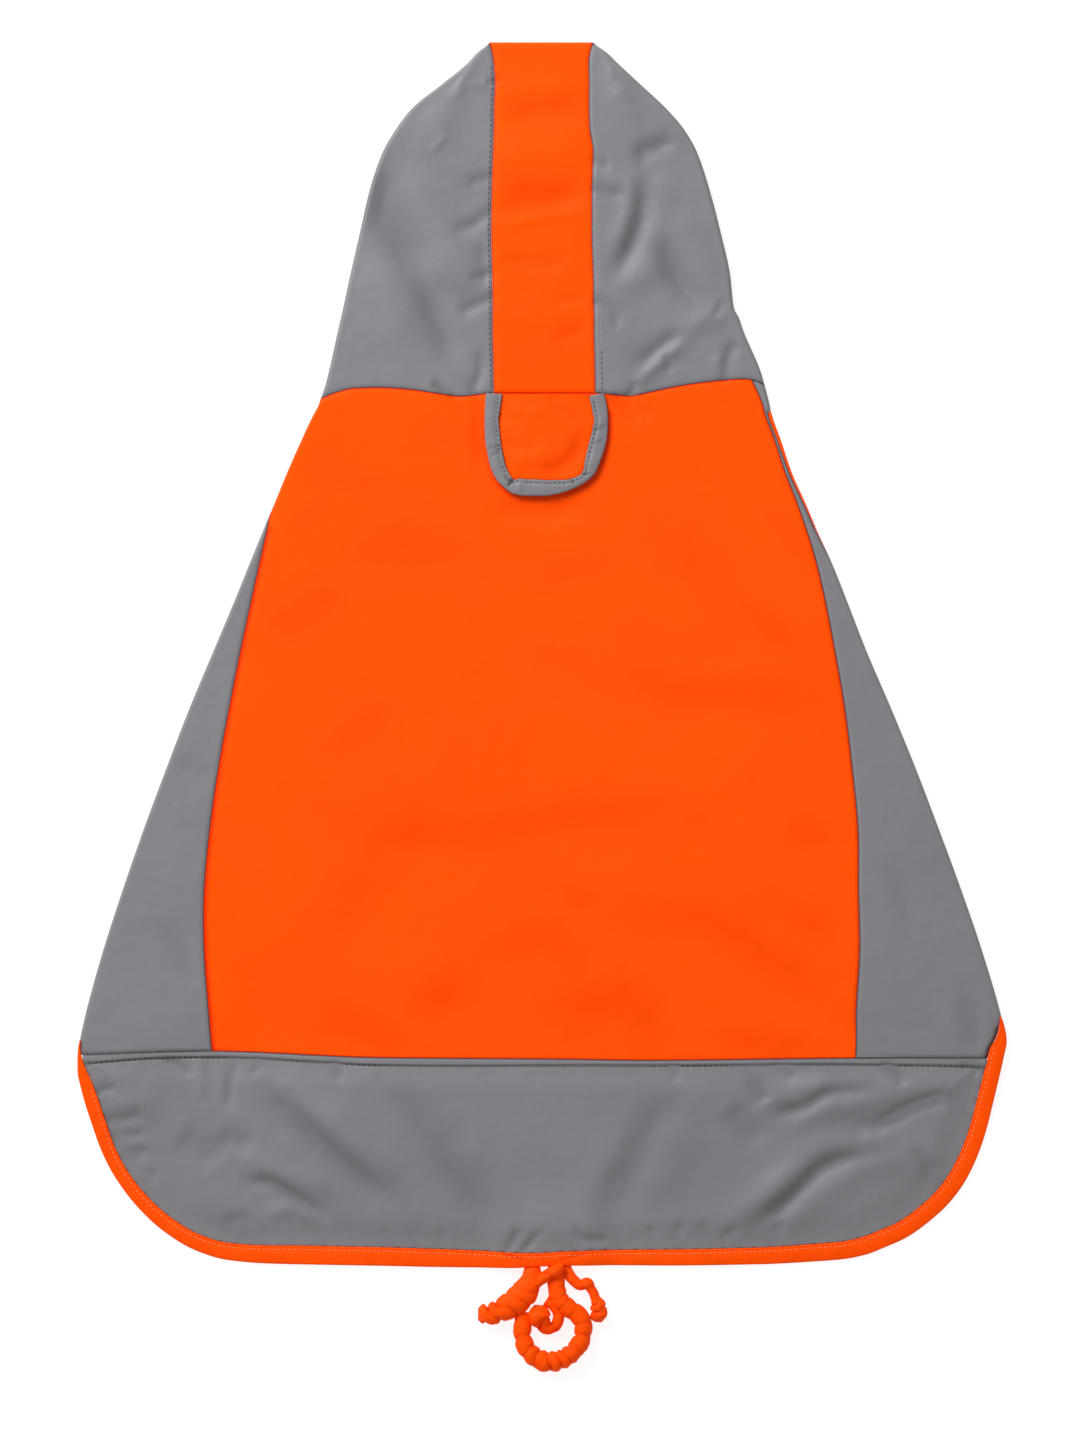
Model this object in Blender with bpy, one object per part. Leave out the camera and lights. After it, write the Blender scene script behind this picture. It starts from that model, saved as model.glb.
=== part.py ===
"""A dog's raincoat with a hood, laid out flat with its back up.

X runs across the coat, Y up its length towards the hood, and Z up from the surface that it lies on. Sizes
are in millimetres and become metres where the meshes are made. The body and the hood are each a tube
pressed flat, so a place on the cloth is given by (across, up): across is X on the upper layer, and past a
side fold it goes on round the fold and back underneath.
"""

import math

import bmesh
import bpy
import numpy as np

METRES = 0.001
CENTRE = (0.691, 0.379)  # middle of the outline, taken as the origin
COLLECTION = "dog raincoat"
SHARP_DEGREES = 50

# Cloth
WALL = 1.2  # coated softshell
SEAM_GAP = 0.3  # between two pieces where they are sewn
HALF_GAP = SEAM_GAP / 2
TAPE_WIDTH = 9.8  # bias tape, as it shows
TAPE_THICK = 2.0  # both of its leaves
FLAP_TAPE_WIDTH = 7.6
LAYER_LIFT = 2.4  # underside of the upper layer above the surface
HOOD_LIFT = 3.3  # the same at the hood, which lies fuller

# The body. Each seam is given by how far it lies in from its fold, less than nothing where it is underneath.
BODY_COLUMNS = ("up", "fold_left", "back_left", "chest_left", "chest_right", "back_right", "fold_right")
BODY_ROWS = (
    (-188.0, -240.9, 71.0, -125.0, -98.0, 81.5, 243.6),
    (-173.6, -239.1, 67.6, -118.0, -93.0, 79.8, 241.9),
    (-159.0, -234.9, 63.4, -112.0, -88.0, 77.2, 238.7),
    (-126.0, -224.1, 51.1, -97.0, -77.0, 67.1, 230.5),
    (-95.0, -215.1, 41.9, -82.0, -66.0, 57.0, 220.3),
    (-64.0, -205.1, 34.2, -67.0, -55.0, 45.7, 208.6),
    (-32.0, -194.0, 27.6, -51.0, -43.0, 36.0, 196.1),
    (-1.0, -182.4, 22.1, -36.0, -32.0, 26.3, 182.5),
    (30.0, -170.1, 16.6, -24.0, -22.0, 18.5, 169.4),
    (56.0, -159.1, 9.9, -12.5, -10.5, 11.9, 158.9),
    (76.0, -150.9, 5.4, -4.5, -0.3, 7.4, 150.6),
    (90.0, -144.9, 2.7, -2.8, 0.6, 4.9, 144.1),
    (105.0, -138.5, -0.4, -4.0, 0.8, 3.6, 137.7),
    (122.0, -131.4, -3.5, -6.6, 0.9, 2.7, 130.3),
    (139.0, -123.9, -5.4, -8.4, 1.2, 2.5, 124.6),
    (152.5, -117.5, -6.6, -9.6, 1.5, 2.9, 119.8),
    (155.5, -115.7, -6.8, -9.8, -2.6, 3.4, 119.2),
    (172.0, -110.9, -7.2, -10.0, -3.0, 6.4, 115.4),
)

# The hood, from the neck seam up: its side folds, the centre strip's edges, and how far the rim of the face
# opening lies from the middle underneath.
HOOD_COLUMNS = ("up", "fold_left", "strip_left", "strip_right", "fold_right", "face_rim")
HOOD_ROWS = (
    (145.0, -120.0, -24.2, 28.5, 124.0, 18.0),
    (160.0, -113.6, -24.2, 28.5, 118.2, 24.0),
    (174.0, -109.9, -24.4, 28.3, 114.3, 33.0),
    (200.0, -104.0, -24.8, 27.8, 103.6, 46.0),
    (225.0, -98.6, -25.0, 27.4, 98.3, 52.0),
    (246.0, -93.8, -25.5, 26.7, 93.6, 52.0),
    (270.0, -88.2, -25.2, 26.8, 87.3, 44.0),
    (288.0, -81.9, -24.6, 27.4, 81.2, 34.0),
    (300.0, -75.0, -24.2, 25.6, 74.4, 28.0),
    (311.0, -66.5, -24.1, 25.2, 64.9, 25.0),
    (323.0, -51.5, -23.6, 25.3, 52.1, 25.0),
    (334.0, -38.0, -24.2, 25.0, 40.2, 25.0),
    (341.0, -30.6, -25.2, 26.0, 32.4, 25.5),
)
HOOD_TOP = 345.0  # where the centre strip folds over
HOOD_SIDE_TOP = 340.4  # where the hood's sides run out beside that fold
STRIP_END = 304.0  # the strip's end underneath, at the top of the face opening

NECK_BLEND = (158.0, 170.0)  # where the side folds pass from the body's table to the hood's

# Seams that run across, as (across, up). The neck seam goes on round both folds and along underneath.
NECK_SEAM = (
    (-249.0, 147.0), (-193.0, 149.0), (-147.0, 153.5), (-120.0, 157.6), (-107.0, 163.0), (-96.0, 165.6),
    (-83.5, 165.9), (-67.0, 164.8), (-54.0, 162.9), (-42.0, 161.4), (-24.0, 163.0), (27.5, 163.0),
    (45.6, 161.6), (60.0, 164.2), (73.8, 167.0), (90.3, 169.2), (105.0, 170.3), (111.0, 169.6),
    (121.0, 164.0), (144.0, 157.0), (184.0, 150.0), (234.0, 147.0), (286.0, 149.0), (326.0, 153.5),
    (348.0, 157.6),
)
HEM_SEAM = (
    (-240.0, -180.1), (-170.0, -178.3), (-84.0, -181.6), (10.0, -182.4), (56.0, -183.0), (162.0, -181.9),
    (240.0, -181.8),
)

# The tape's free edge, down the left side, along the hem and up the right side
HEM_EDGE = (
    (-239.2, -173.2), (-240.2, -181.0), (-240.2, -187.0), (-239.0, -192.5), (-234.5, -209.3),
    (-227.8, -225.8), (-219.6, -242.4), (-209.7, -257.2), (-196.4, -270.5), (-183.2, -279.5),
    (-170.0, -284.9), (-150.3, -287.8), (-95.0, -289.2), (0.0, -290.0), (60.0, -289.2), (138.3, -288.0),
    (163.1, -285.5), (182.9, -278.8), (202.9, -265.5), (217.7, -248.9), (227.6, -230.7), (235.9, -202.7),
    (239.9, -186.1), (241.9, -174.0), (240.6, -166.5), (238.9, -159.8),
)
# and on from fold to fold underneath, in an arch that leaves the belly free
ARCH_EDGE = (
    (-240.2, -187.0), (-200.0, -157.0), (-160.0, -122.0), (-120.0, -83.0), (-80.0, -42.0), (-40.0, -5.0),
    (0.0, 10.0), (40.0, -3.0), (80.0, -36.0), (120.0, -74.0), (160.0, -111.0), (200.0, -144.0),
    (241.9, -174.0),
)
# How much of the tape's width lies on this side of the fold, by the way gone from the fold
HEM_TAPE_LEFT = ((0.0, 0.9), (18.0, 4.8), (36.0, 6.9), (75.0, TAPE_WIDTH))
HEM_TAPE_RIGHT = ((0.0, 0.9), (14.0, 5.9), (27.0, 8.2), (45.0, TAPE_WIDTH))
ARCH_TAPE_END = ((0.0, 0.9), (10.0, 7.4), (15.0, TAPE_WIDTH))
ARCH_GAP = (0.6, 1.5, 30.0)  # beside the arch's tape, more at its two ends over this way
ARCH_CLEAR = 6.0  # the upper layer keeps its height this far past the arch
ARCH_SETTLE = 60.0  # and then sinks to the surface over this length
HEM_SIDE = 12  # stations of the hem's tape that run up beside a gore
EDGE_CLEAR = 0.4  # a gore's least reach from the fold beside a tape

# The topstitched welt under the hem seam
WELT_DEPTH = 3.4
WELT_EDGE = 1.5
WELT_RAISE = 0.7

# The hem's middle lies over the ends of the leg loops
LOOPS_MIDDLE = 4.0
LOOPS_HALF = 16.0
LOOPS_EASE = 22.0
LOOPS_RAISE = 3.2
LOOPS_START = -245.0  # and rises from here towards the hem
LOOPS_LENGTH = 32.0

# The largest folds: soft ridges, as (from across, from up, to across, to up, width, rise)
FOLD_ROWS = (
    (-84.0, 252.0, -66.0, 196.0, 9.0, 1.5),  # hood, left side
    (-44.0, 322.0, -58.0, 292.0, 8.0, 1.2),
    (39.0, 335.0, 42.0, 312.0, 7.0, 1.2),  # hood, right side
    (68.0, 234.0, 40.0, 216.0, 7.0, 1.4),
    (72.0, 214.0, 90.0, 202.0, 6.0, 1.6),
    (76.0, 200.0, 52.0, 172.0, 6.0, 1.2),
    (-128.0, -198.0, -84.0, -244.0, 9.0, 2.6),  # rump, left half
    (-88.0, -196.0, -34.0, -252.0, 11.0, 3.0),
    (-150.0, -236.0, -108.0, -252.0, 8.0, 1.8),
    (120.0, -206.0, 196.0, -198.0, 8.0, 2.2),  # rump, right half
    (98.0, -268.0, 142.0, -238.0, 9.0, 2.6),
    (150.0, -232.0, 200.0, -234.0, 9.0, 2.4),
    (80.0, -196.0, 34.0, -248.0, 13.0, 2.2),
)

# The leash flap: the free edge of its tape, from the neck seam round and back
FLAP_EDGE = (
    (-28.4, 162.3), (-28.9, 142.7), (-27.4, 129.5), (-24.0, 119.4), (-18.9, 113.0), (-11.5, 110.0),
    (1.0, 109.4), (14.2, 110.2), (24.1, 114.4), (30.7, 122.1), (34.0, 136.1), (35.0, 147.7), (33.8, 162.3),
)
FLAP_TOP = 162.3
FLAP_CORNER = 1.0  # the flap's side edges end this far under its top edge
FLAP_GAP = 0.45  # beside its tape
FLAP_RISE = 1.6  # how far its free end stands off the back
FLAP_LENGTH = 55.0

# The leg loops: how many gathers each has, how deep, and its strand's middle as (across, up, half width,
# half height)
GATHER_START = 0.12  # the gathers come in over this part of a strand
LOOPS = {
    "leg_loop_ring": (15, 0.10, (
        (8.2, -287.0, 3.3, 1.45), (8.1, -291.2, 3.6, 1.45), (8.6, -300.0, 4.6, 4.2),
        (12.4, -306.4, 4.8, 4.6), (18.5, -312.4, 4.8, 4.8), (22.2, -320.0, 5.0, 5.0),
        (21.6, -328.2, 5.0, 5.0), (16.2, -335.0, 4.9, 5.0), (8.0, -338.8, 5.0, 5.0),
        (-0.8, -337.8, 5.0, 5.0), (-6.9, -332.0, 4.9, 5.0), (-9.4, -324.6, 4.8, 4.8),
        (-9.0, -317.4, 4.0, 4.4),
    )),
    "leg_loop_right": (4, 0.14, (
        (14.4, -287.0, 2.2, 1.45), (15.2, -291.2, 2.3, 1.45), (20.6, -297.4, 2.7, 2.8),
        (26.4, -299.0, 3.1, 3.4), (28.8, -303.6, 2.6, 3.0), (31.6, -309.0, 3.4, 3.8),
        (32.6, -314.2, 3.4, 3.6),
    )),
    "leg_loop_left": (6, 0.08, (
        (-5.6, -287.0, 3.0, 1.45), (-5.5, -291.2, 3.4, 1.45), (-7.8, -300.2, 6.0, 4.6),
        (-13.8, -306.4, 6.6, 5.2), (-21.2, -311.0, 5.8, 5.0), (-27.4, -313.6, 4.4, 4.2),
        (-31.0, -314.4, 2.6, 3.0),
    )),
    "leg_loop_bundle": (3, 0.06, (
        (3.4, -309.6, 2.3, 2.4), (6.6, -313.2, 2.5, 3.0), (6.4, -318.2, 2.6, 3.2),
        (2.2, -320.2, 2.6, 3.2), (-2.9, -316.4, 2.6, 3.0),
    )),
}

# Rows of the meshes: heights of the rows of points, and how close they stand where the cloth turns
BODY_HEIGHTS = (
    -181.0, -178.0, -175.0, -171.0, -167.0, -163.5, -160.0, -156.0, -151.0, -144.0, -132.0, -118.0, -102.0,
    -84.0, -64.0, -44.0, -24.0, -3.0, 18.0, 37.0, 54.0, 66.0, 76.0, 84.0, 91.0, 97.0, 103.0, 109.0, 116.0,
    124.0, 133.0, 143.0, 151.0, 154.5, 158.0, 162.0, 166.0,
)
CHEST_START = -102.0  # the lowest of them that the chest has
HOOD_HEIGHTS = (
    163.0, 172.0, 182.0, 193.0, 205.0, 217.0, 229.0, 241.0, 253.0, 265.0, 276.0, 286.0, 296.0, 305.0, 313.0,
    320.0, 327.0, 334.0, 340.4,
)
TURN_STEPS = (-2.4, -1.9, -1.3, -0.6, 0.0, 0.6, 1.3, 1.9, 2.4)  # round a fold
MERGE = 0.02  # points of a row this close are one
HOOD_COLUMNS_WIDE, HOOD_COLUMNS_UNDER = 16, 4
GORE_COLUMNS_WIDE, GORE_COLUMNS_UNDER = 7, 3
BACK_COLUMNS_UNDER, BACK_COLUMNS_WIDE = 2, 20
CHEST_COLUMNS_TOP, CHEST_COLUMNS_WIDE = 1, 26
STRIP_COLUMNS, STRIP_ROWS_UNDER = 7, 4
RUMP_COLUMNS = 44
RUMP_ROWS = (0, 0.06, 0.16, 0.28, 0.4, 0.52, 0.64, 0.76, 0.88, 0.95, 1)
RUMP_CORNER = 1.6  # the rump's edge beside the tape ends this far under the hem seam
FLAP_COLUMNS, FLAP_ROWS = 25, 6
HEM_STATIONS, ARCH_STATIONS, FLAP_STATIONS = 70, 50, 37
TAPE_SOFT = 0.3  # of its thickness, the softening of its free edge
LOOP_SIDES = 8
LOOP_STEP = 1.3  # between rings along a strand
SETTLING = 12  # times that a panel's places are worked out again, as its seams and heights hang together

# Colours as sRGB
ORANGE = (255, 90, 20)
GREY = (135, 134, 138)


# ---- Curves ----


def smooth(table, column=1):
    """One column of a table as a function of its first: it bends smoothly and never overshoots the rows."""
    rows = np.asarray(table, float)
    at, value = rows[:, 0], rows[:, column]
    step = np.diff(at)
    slope = np.diff(value) / step
    both = slope[:-1] * slope[1:]
    total = np.where(both > 0, slope[:-1] + slope[1:], 1)
    tangent = np.concatenate(([slope[0]], np.where(both > 0, 2 * both / total, 0), [slope[-1]]))

    def read(place):
        row = np.clip(np.searchsorted(at, place) - 1, 0, len(step) - 1)
        part = np.clip((place - at[row]) / step[row], 0, 1)
        rest = 1 - part
        ends = value[row] * rest**2 * (1 + 2 * part) + value[row + 1] * part**2 * (1 + 2 * rest)
        return ends + step[row] * part * rest * (tangent[row] * rest - tangent[row + 1] * part)

    return read


def ease(value):
    """0 below 0, 1 above 1 and a soft S between."""
    part = np.clip(value, 0, 1)
    return part * part * (3 - 2 * part)


def way_along(path):
    """How far along a path each of its points lies."""
    return np.concatenate(([0], np.cumsum(np.linalg.norm(np.diff(path[:, :2], axis=0), axis=1))))


def along(rows, count):
    """A smooth curve through a table's rows, as points evenly spaced along it."""
    rows = np.asarray(rows, float)
    table = np.column_stack((way_along(rows), rows))
    fine = np.linspace(0, table[-1, 0], 8 * count)
    drawn = np.column_stack([smooth(table, column)(fine) for column in range(1, table.shape[1])])
    places = np.linspace(0, way_along(drawn)[-1], count)
    return np.column_stack([np.interp(places, way_along(drawn), value) for value in drawn.T])


def sideways(path):
    """The direction to the left of the way that a path runs, at each of its points."""
    way = np.gradient(path[:, :2], axis=0)
    way /= np.linalg.norm(way, axis=1, keepdims=True)
    return np.column_stack((-way[:, 1], way[:, 0]))


BODY = {name: smooth(BODY_ROWS, n) for n, name in enumerate(BODY_COLUMNS)}
HOOD = {name: smooth(HOOD_ROWS, n) for n, name in enumerate(HOOD_COLUMNS)}
arch_up = smooth(ARCH_EDGE)
hem_seam_up = smooth(HEM_SEAM)
neck_up = smooth(NECK_SEAM)


# ---- How the coat lies ----


def fold(side, up):
    """Where the cloth folds at one side, from the body's table to the hood's over the neck seam."""
    hood_part = ease((up - NECK_BLEND[0]) / (NECK_BLEND[1] - NECK_BLEND[0]))
    return BODY["fold_" + side](up) * (1 - hood_part) + HOOD["fold_" + side](up) * hood_part


def seam(name, up):
    """The place across of one of the body's seams. The under part is counted on past its own fold."""
    side = name.split("_")[1]
    inward = 1 if side == "left" else -1
    return fold(side, up) + inward * BODY[name](up)


def beneath(across, up):
    """The X of a place, which is back underneath where it lies past a fold."""
    left, right = fold("left", up), fold("right", up)
    return np.where(across > right, 2 * right - across, np.where(across < left, 2 * left - across, across))


def ridge(x, y, from_across, from_up, to_across, to_up, width, rise):
    """A soft ridge between two places, which fades to a third towards both."""
    run_x, run_y = to_across - from_across, to_up - from_up
    part = ((x - from_across) * run_x + (y - from_up) * run_y) / (run_x**2 + run_y**2)
    part = np.clip(part, 0, 1)
    off = np.hypot(x - from_across - part * run_x, y - from_up - part * run_y)
    return rise * np.exp(-((off / width) ** 2)) * np.sin(math.pi * (0.1 + 0.8 * part))


def lift(x, y):
    """How far the upper layer's underside lies above the surface."""
    height = LAYER_LIFT + (HOOD_LIFT - LAYER_LIFT) * ease((y - 150) / 60)
    height = height * (1 - ease((arch_up(x) - y - ARCH_CLEAR) / ARCH_SETTLE))
    middle = 1 - ease((np.abs(x - LOOPS_MIDDLE) - LOOPS_HALF) / LOOPS_EASE)
    height = height + LOOPS_RAISE * middle * ease((LOOPS_START - y) / LOOPS_LENGTH)
    return height + sum(ridge(x, y, *row) for row in FOLD_ROWS)


def turned(place, edge, radius, depth):
    """Carries places past an edge round it and back, at a depth in the cloth.

    Gives how far out they lie, and 1 on top to 0 underneath. The turn is a half circle of that radius.
    """
    beyond = place - edge
    turn = np.clip(beyond / radius, -1, 1) * math.pi / 2
    flat = np.maximum(np.abs(beyond), radius)
    return edge - flat + (radius - depth) * np.cos(turn), (1 - np.sin(turn)) / 2


def through(thickness, top, depth):
    """The height at a depth under the outer face, where top is 1 on the upper layer and 0 underneath."""
    return thickness * top + depth * (1 - 2 * top)


def laid(across, up, depth):
    """Points of the body or the hood at a depth under the outer face, carried round the side folds."""
    left, right = fold("left", up), fold("right", up)
    x_left, top_left = turned(-across, -left, (WALL + lift(left, up)) / 2, depth)
    x_right, top_right = turned(across, right, (WALL + lift(right, up)) / 2, depth)
    on_right = across > (left + right) / 2
    x = np.where(on_right, x_right, -x_left)
    top = np.where(on_right, top_right, top_left)
    return np.stack((x, up, through(WALL + lift(beneath(across, up), up), top, depth)), axis=-1)


def laid_over_top(across, up, depth):
    """Points of the centre strip at a depth under its outer face, carried over the hood's top."""
    y, top = turned(up, HOOD_TOP, (WALL + HOOD_LIFT) / 2, depth)
    return np.stack((across, y, through(WALL + lift(across, y), top, depth)), axis=-1)


# ---- Edges ----


def shortest_way(path):
    """How far along a path each of its points lies from the nearer end."""
    gone = way_along(path)
    return np.minimum(gone, gone[-1] - gone)


def hem_tape():
    """The hem's tape: its free edge, its width there, and the edge of the panels beside it."""
    path = along(HEM_EDGE, HEM_STATIONS)
    gone = way_along(path)
    width = np.minimum(smooth(HEM_TAPE_LEFT)(gone), smooth(HEM_TAPE_RIGHT)(gone[-1] - gone))
    return path, width, path + sideways(path) * (width + SEAM_GAP)[:, None]


def arch_tape():
    """The same of the arch's tape."""
    path = along(ARCH_EDGE, ARCH_STATIONS)
    width = smooth(ARCH_TAPE_END)(shortest_way(path))
    least, most, length = ARCH_GAP
    gap = most + (least - most) * ease(shortest_way(path) / length)
    return path, width, path + sideways(path) * (width + gap)[:, None]


hem_path, hem_width, hem_bound = hem_tape()
arch_path, arch_width, arch_bound = arch_tape()


def taped_edge(side, up):
    """A gore's edge beside the tape: the arch's tape underneath, and on top the end of the hem's."""
    peak = np.argmax(arch_bound[:, 1])
    if side == "left":
        inward, under, over = 1, arch_bound[: peak + 1], hem_bound[:HEM_SIDE][::-1]
    else:
        inward, under, over = -1, arch_bound[peak:][::-1], hem_bound[-HEM_SIDE:]
    below = inward * (np.interp(up, under[:, 1], under[:, 0]) - fold(side, up))
    above = inward * (np.interp(up, over[:, 1], over[:, 0]) - fold(side, up))
    return fold(side, up) + inward * np.where(below > EDGE_CLEAR, -below, np.maximum(above, EDGE_CLEAR))


def hem_line(across, up):
    return hem_seam_up(beneath(across, up)) + HALF_GAP


def neck_line(across, up):
    return neck_up(across) - HALF_GAP


def hood_line(across, up):
    return neck_up(across) + HALF_GAP


def hood_end(across, up):
    return HOOD_SIDE_TOP


def arch_line(across, up):
    return np.interp(beneath(across, up), arch_bound[:, 0], arch_bound[:, 1])


def strip_edge(side, up):
    return HOOD["strip_" + side](up)


def face_edge(side, up):
    """A hood side's edge underneath: the face opening's rim, and above it the centre strip's edge."""
    if side == "left":
        return 2 * fold(side, up) - np.minimum(strip_edge(side, up), -HOOD["face_rim"](up)) + SEAM_GAP
    return 2 * fold(side, up) - np.maximum(strip_edge(side, up), HOOD["face_rim"](up)) - SEAM_GAP


# ---- Meshes ----


def material(name, colour, roughness):
    made = bpy.data.materials.new(name)
    made.use_nodes = True
    shader = made.node_tree.nodes["Principled BSDF"]
    linear = [((part / 255 + 0.055) / 1.055) ** 2.4 for part in colour]
    shader.inputs["Base Color"].default_value = (*linear, 1)
    shader.inputs["Roughness"].default_value = roughness
    shader.inputs["Metallic"].default_value = 0
    made.diffuse_color = (*linear, 1)
    return made


def piece(name, points, faces, cloth):
    """A named object from points in millimetres."""
    mesh = bpy.data.meshes.new(name)
    points = (np.asarray(points, float).reshape(-1, 3) - (*CENTRE, 0)) * METRES
    mesh.from_pydata(points.tolist(), [], [list(map(int, face)) for face in faces])
    mesh.materials.append(cloth)
    mesh.shade_smooth()
    mesh.set_sharp_from_angle(angle=math.radians(SHARP_DEGREES))
    made = bpy.data.objects.new(name, mesh)
    bpy.data.collections[COLLECTION].objects.link(made)
    return made


def grid_faces(rows, count, closed=False):
    """Quads of a grid of points, its rows joined into rings where it is closed."""
    row, column = np.mgrid[0 : rows - 1, 0 : count if closed else count - 1]
    after = (column + 1) % count
    row, after_row = row * count, (row + 1) * count
    corners = (row + column, row + after, after_row + after, after_row + column)
    return np.stack(corners, axis=-1).reshape(-1, 4)


def cloth_wall(name, place, across, up, cloth):
    """A panel: place gives its points at a depth, and its outer and inner faces are joined at their rims."""
    outer, inner = place(across, up, 0.0), place(across, up, WALL)
    index = np.arange(across.size).reshape(across.shape)
    sheet = grid_faces(*across.shape)
    rim = np.concatenate((index[0, :-1], index[:-1, -1], index[-1, :0:-1], index[:0:-1, 0]))
    after = np.roll(rim, -1)
    edge = np.stack((after, rim, rim + index.size, after + index.size), axis=-1)
    faces = np.concatenate((sheet, sheet[:, ::-1] + index.size, edge))
    made = piece(name, (outer, inner), faces, cloth)
    cells = bmesh.new()
    cells.from_mesh(made.data)
    bmesh.ops.remove_doubles(cells, verts=cells.verts, dist=MERGE * METRES)
    cells.to_mesh(made.data)
    cells.free()


def lofted(name, rings, cloth):
    """A closed solid through rings of points, with a flat cap at each end."""
    rows, count = rings.shape[:2]
    caps = [range(count - 1, -1, -1), range((rows - 1) * count, rows * count)]
    piece(name, rings, [*grid_faces(rows, count, closed=True), *caps], cloth)


def panel(start, end, edge, bottom, top, heights, before, after, floor=None):
    """A grid of (across, up) between two side seams and two cross seams.

    start, end and edge give a place across at a height: the two seams, and the fold between or beside them.
    Each row has before places up to the fold, one for each of TURN_STEPS round it and after places past it.
    Those that a seam cuts off end on the seam. bottom and top give a height at a place, and heights run
    from the lowest row to the highest. floor gives the height at a place that no row goes under.
    """
    heights = np.asarray(heights, float)[:, None]
    rows = (heights - heights[0]) / (heights[-1] - heights[0])
    turn = len(TURN_STEPS)
    steps = np.concatenate((np.full(before, TURN_STEPS[0]), TURN_STEPS, np.full(after, TURN_STEPS[-1])))
    ahead = np.concatenate((np.arange(before) / max(before, 1), np.ones(turn + after)))
    behind = np.concatenate((np.zeros(before + turn), np.arange(1, after + 1) / max(after, 1)))
    up = heights + np.zeros(len(steps))
    for _ in range(SETTLING):
        first, last = start(up), end(up)
        across = np.clip(edge(up) + steps, first, last)
        across = first + (across - first) * ahead
        across = across + (last - across) * behind
        level = bottom(across, up) * (1 - rows) + top(across, up) * rows
        up = np.maximum(level, floor(across, up)) if floor else level
    return across, up


def tape(name, path, widths, base, cloth):
    """Bias tape along its free edge: a flat band with a softened edge, the binding's two leaves in one."""
    soft = TAPE_SOFT * TAPE_THICK
    near = np.minimum(soft, widths / 2)
    nought = np.zeros(len(path))
    section = (
        (widths, 0), (near, 0), (nought, soft), (nought, TAPE_THICK - soft), (near, TAPE_THICK),
        (widths, TAPE_THICK),
    )
    rings = []
    for inset, high in section:
        flat = path + sideways(path) * inset[:, None]
        rings.append(np.column_stack((flat, base(flat[:, 0], flat[:, 1]) + high)))
    lofted(name, np.stack(rings, axis=1)[:, ::-1], cloth)


# ---- Pieces ----


def gore(side, cloth):
    """A side gore, from the back's seam on top round the fold to the chest's seam and the arch underneath."""

    def back_edge(up):
        return seam("back_" + side, up)

    def under_edge(up):
        chest = seam("chest_" + side, up)
        if side == "left":
            return np.maximum(chest, taped_edge(side, up)) + HALF_GAP
        return np.minimum(chest, taped_edge(side, up)) - HALF_GAP

    def side_fold(up):
        return fold(side, up)

    if side == "left":
        edges = (under_edge, lambda up: back_edge(up) - HALF_GAP, side_fold)
        columns = (GORE_COLUMNS_UNDER, GORE_COLUMNS_WIDE)
    else:
        edges = (lambda up: back_edge(up) + HALF_GAP, under_edge, side_fold)
        columns = (GORE_COLUMNS_WIDE, GORE_COLUMNS_UNDER)
    cells = panel(*edges, hem_line, neck_line, BODY_HEIGHTS, *columns)
    cloth_wall("gore_" + side, laid, *cells, cloth)


def back_panel(cloth):
    cells = panel(
        lambda up: seam("back_left", up) + HALF_GAP,
        lambda up: seam("back_right", up) - HALF_GAP,
        lambda up: fold("left", up),
        hem_line, neck_line, BODY_HEIGHTS, BACK_COLUMNS_UNDER, BACK_COLUMNS_WIDE,
    )
    cloth_wall("back_panel", laid, *cells, cloth)


def chest_panel(cloth):
    """The chest, which passes the right fold and ends underneath beside the left gore."""
    cells = panel(
        lambda up: seam("chest_right", up) + HALF_GAP,
        lambda up: 2 * fold("right", up) - 2 * fold("left", up) + seam("chest_left", up) - HALF_GAP,
        lambda up: fold("right", up),
        hem_line, neck_line, BODY_HEIGHTS, CHEST_COLUMNS_TOP, CHEST_COLUMNS_WIDE, arch_line,
    )
    first = BODY_HEIGHTS.index(CHEST_START)
    cloth_wall("chest_panel", laid, *(values[first:] for values in cells), cloth)


def hood_side(side, cloth):
    """A side of the hood, from the centre strip round the fold to the face opening."""
    if side == "left":
        edges = (lambda up: face_edge(side, up), lambda up: strip_edge(side, up) - HALF_GAP)
        columns = (HOOD_COLUMNS_UNDER, HOOD_COLUMNS_WIDE)
    else:
        edges = (lambda up: strip_edge(side, up) + HALF_GAP, lambda up: face_edge(side, up))
        columns = (HOOD_COLUMNS_WIDE, HOOD_COLUMNS_UNDER)
    cells = panel(*edges, lambda up: fold(side, up), hood_line, hood_end, HOOD_HEIGHTS, *columns)
    cloth_wall("hood_" + side, laid, *cells, cloth)


def hood_centre(cloth):
    """The centre strip, from the neck seam over the hood's top to the face opening."""
    turn, end = HOOD_TOP + np.array(TURN_STEPS), 2 * HOOD_TOP - STRIP_END
    under = np.linspace(turn[-1], end, STRIP_ROWS_UNDER + 1)[1:]
    lengths = np.concatenate((HOOD_HEIGHTS, turn, under))[:, None]
    height = np.minimum(lengths, 2 * HOOD_TOP - lengths)
    part = np.linspace(0, 1, STRIP_COLUMNS)
    left, right = strip_edge("left", height) + HALF_GAP, strip_edge("right", height) - HALF_GAP
    across = left * (1 - part) + right * part
    up = np.where(lengths == HOOD_HEIGHTS[0], neck_up(across) + HALF_GAP, lengths)
    cloth_wall("hood_centre", laid_over_top, across, up, cloth)


def between(edge, top, rows):
    """A grid from an edge's points up to a level top edge over its ends."""
    part = np.linspace(0, 1, len(edge))
    top_x = edge[0, 0] * (1 - part) + edge[-1, 0] * part
    rows = np.asarray(rows)[:, None]
    return edge[:, 0] * (1 - rows) + top_x * rows, edge[:, 1] * (1 - rows) + top(top_x) * rows


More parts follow.
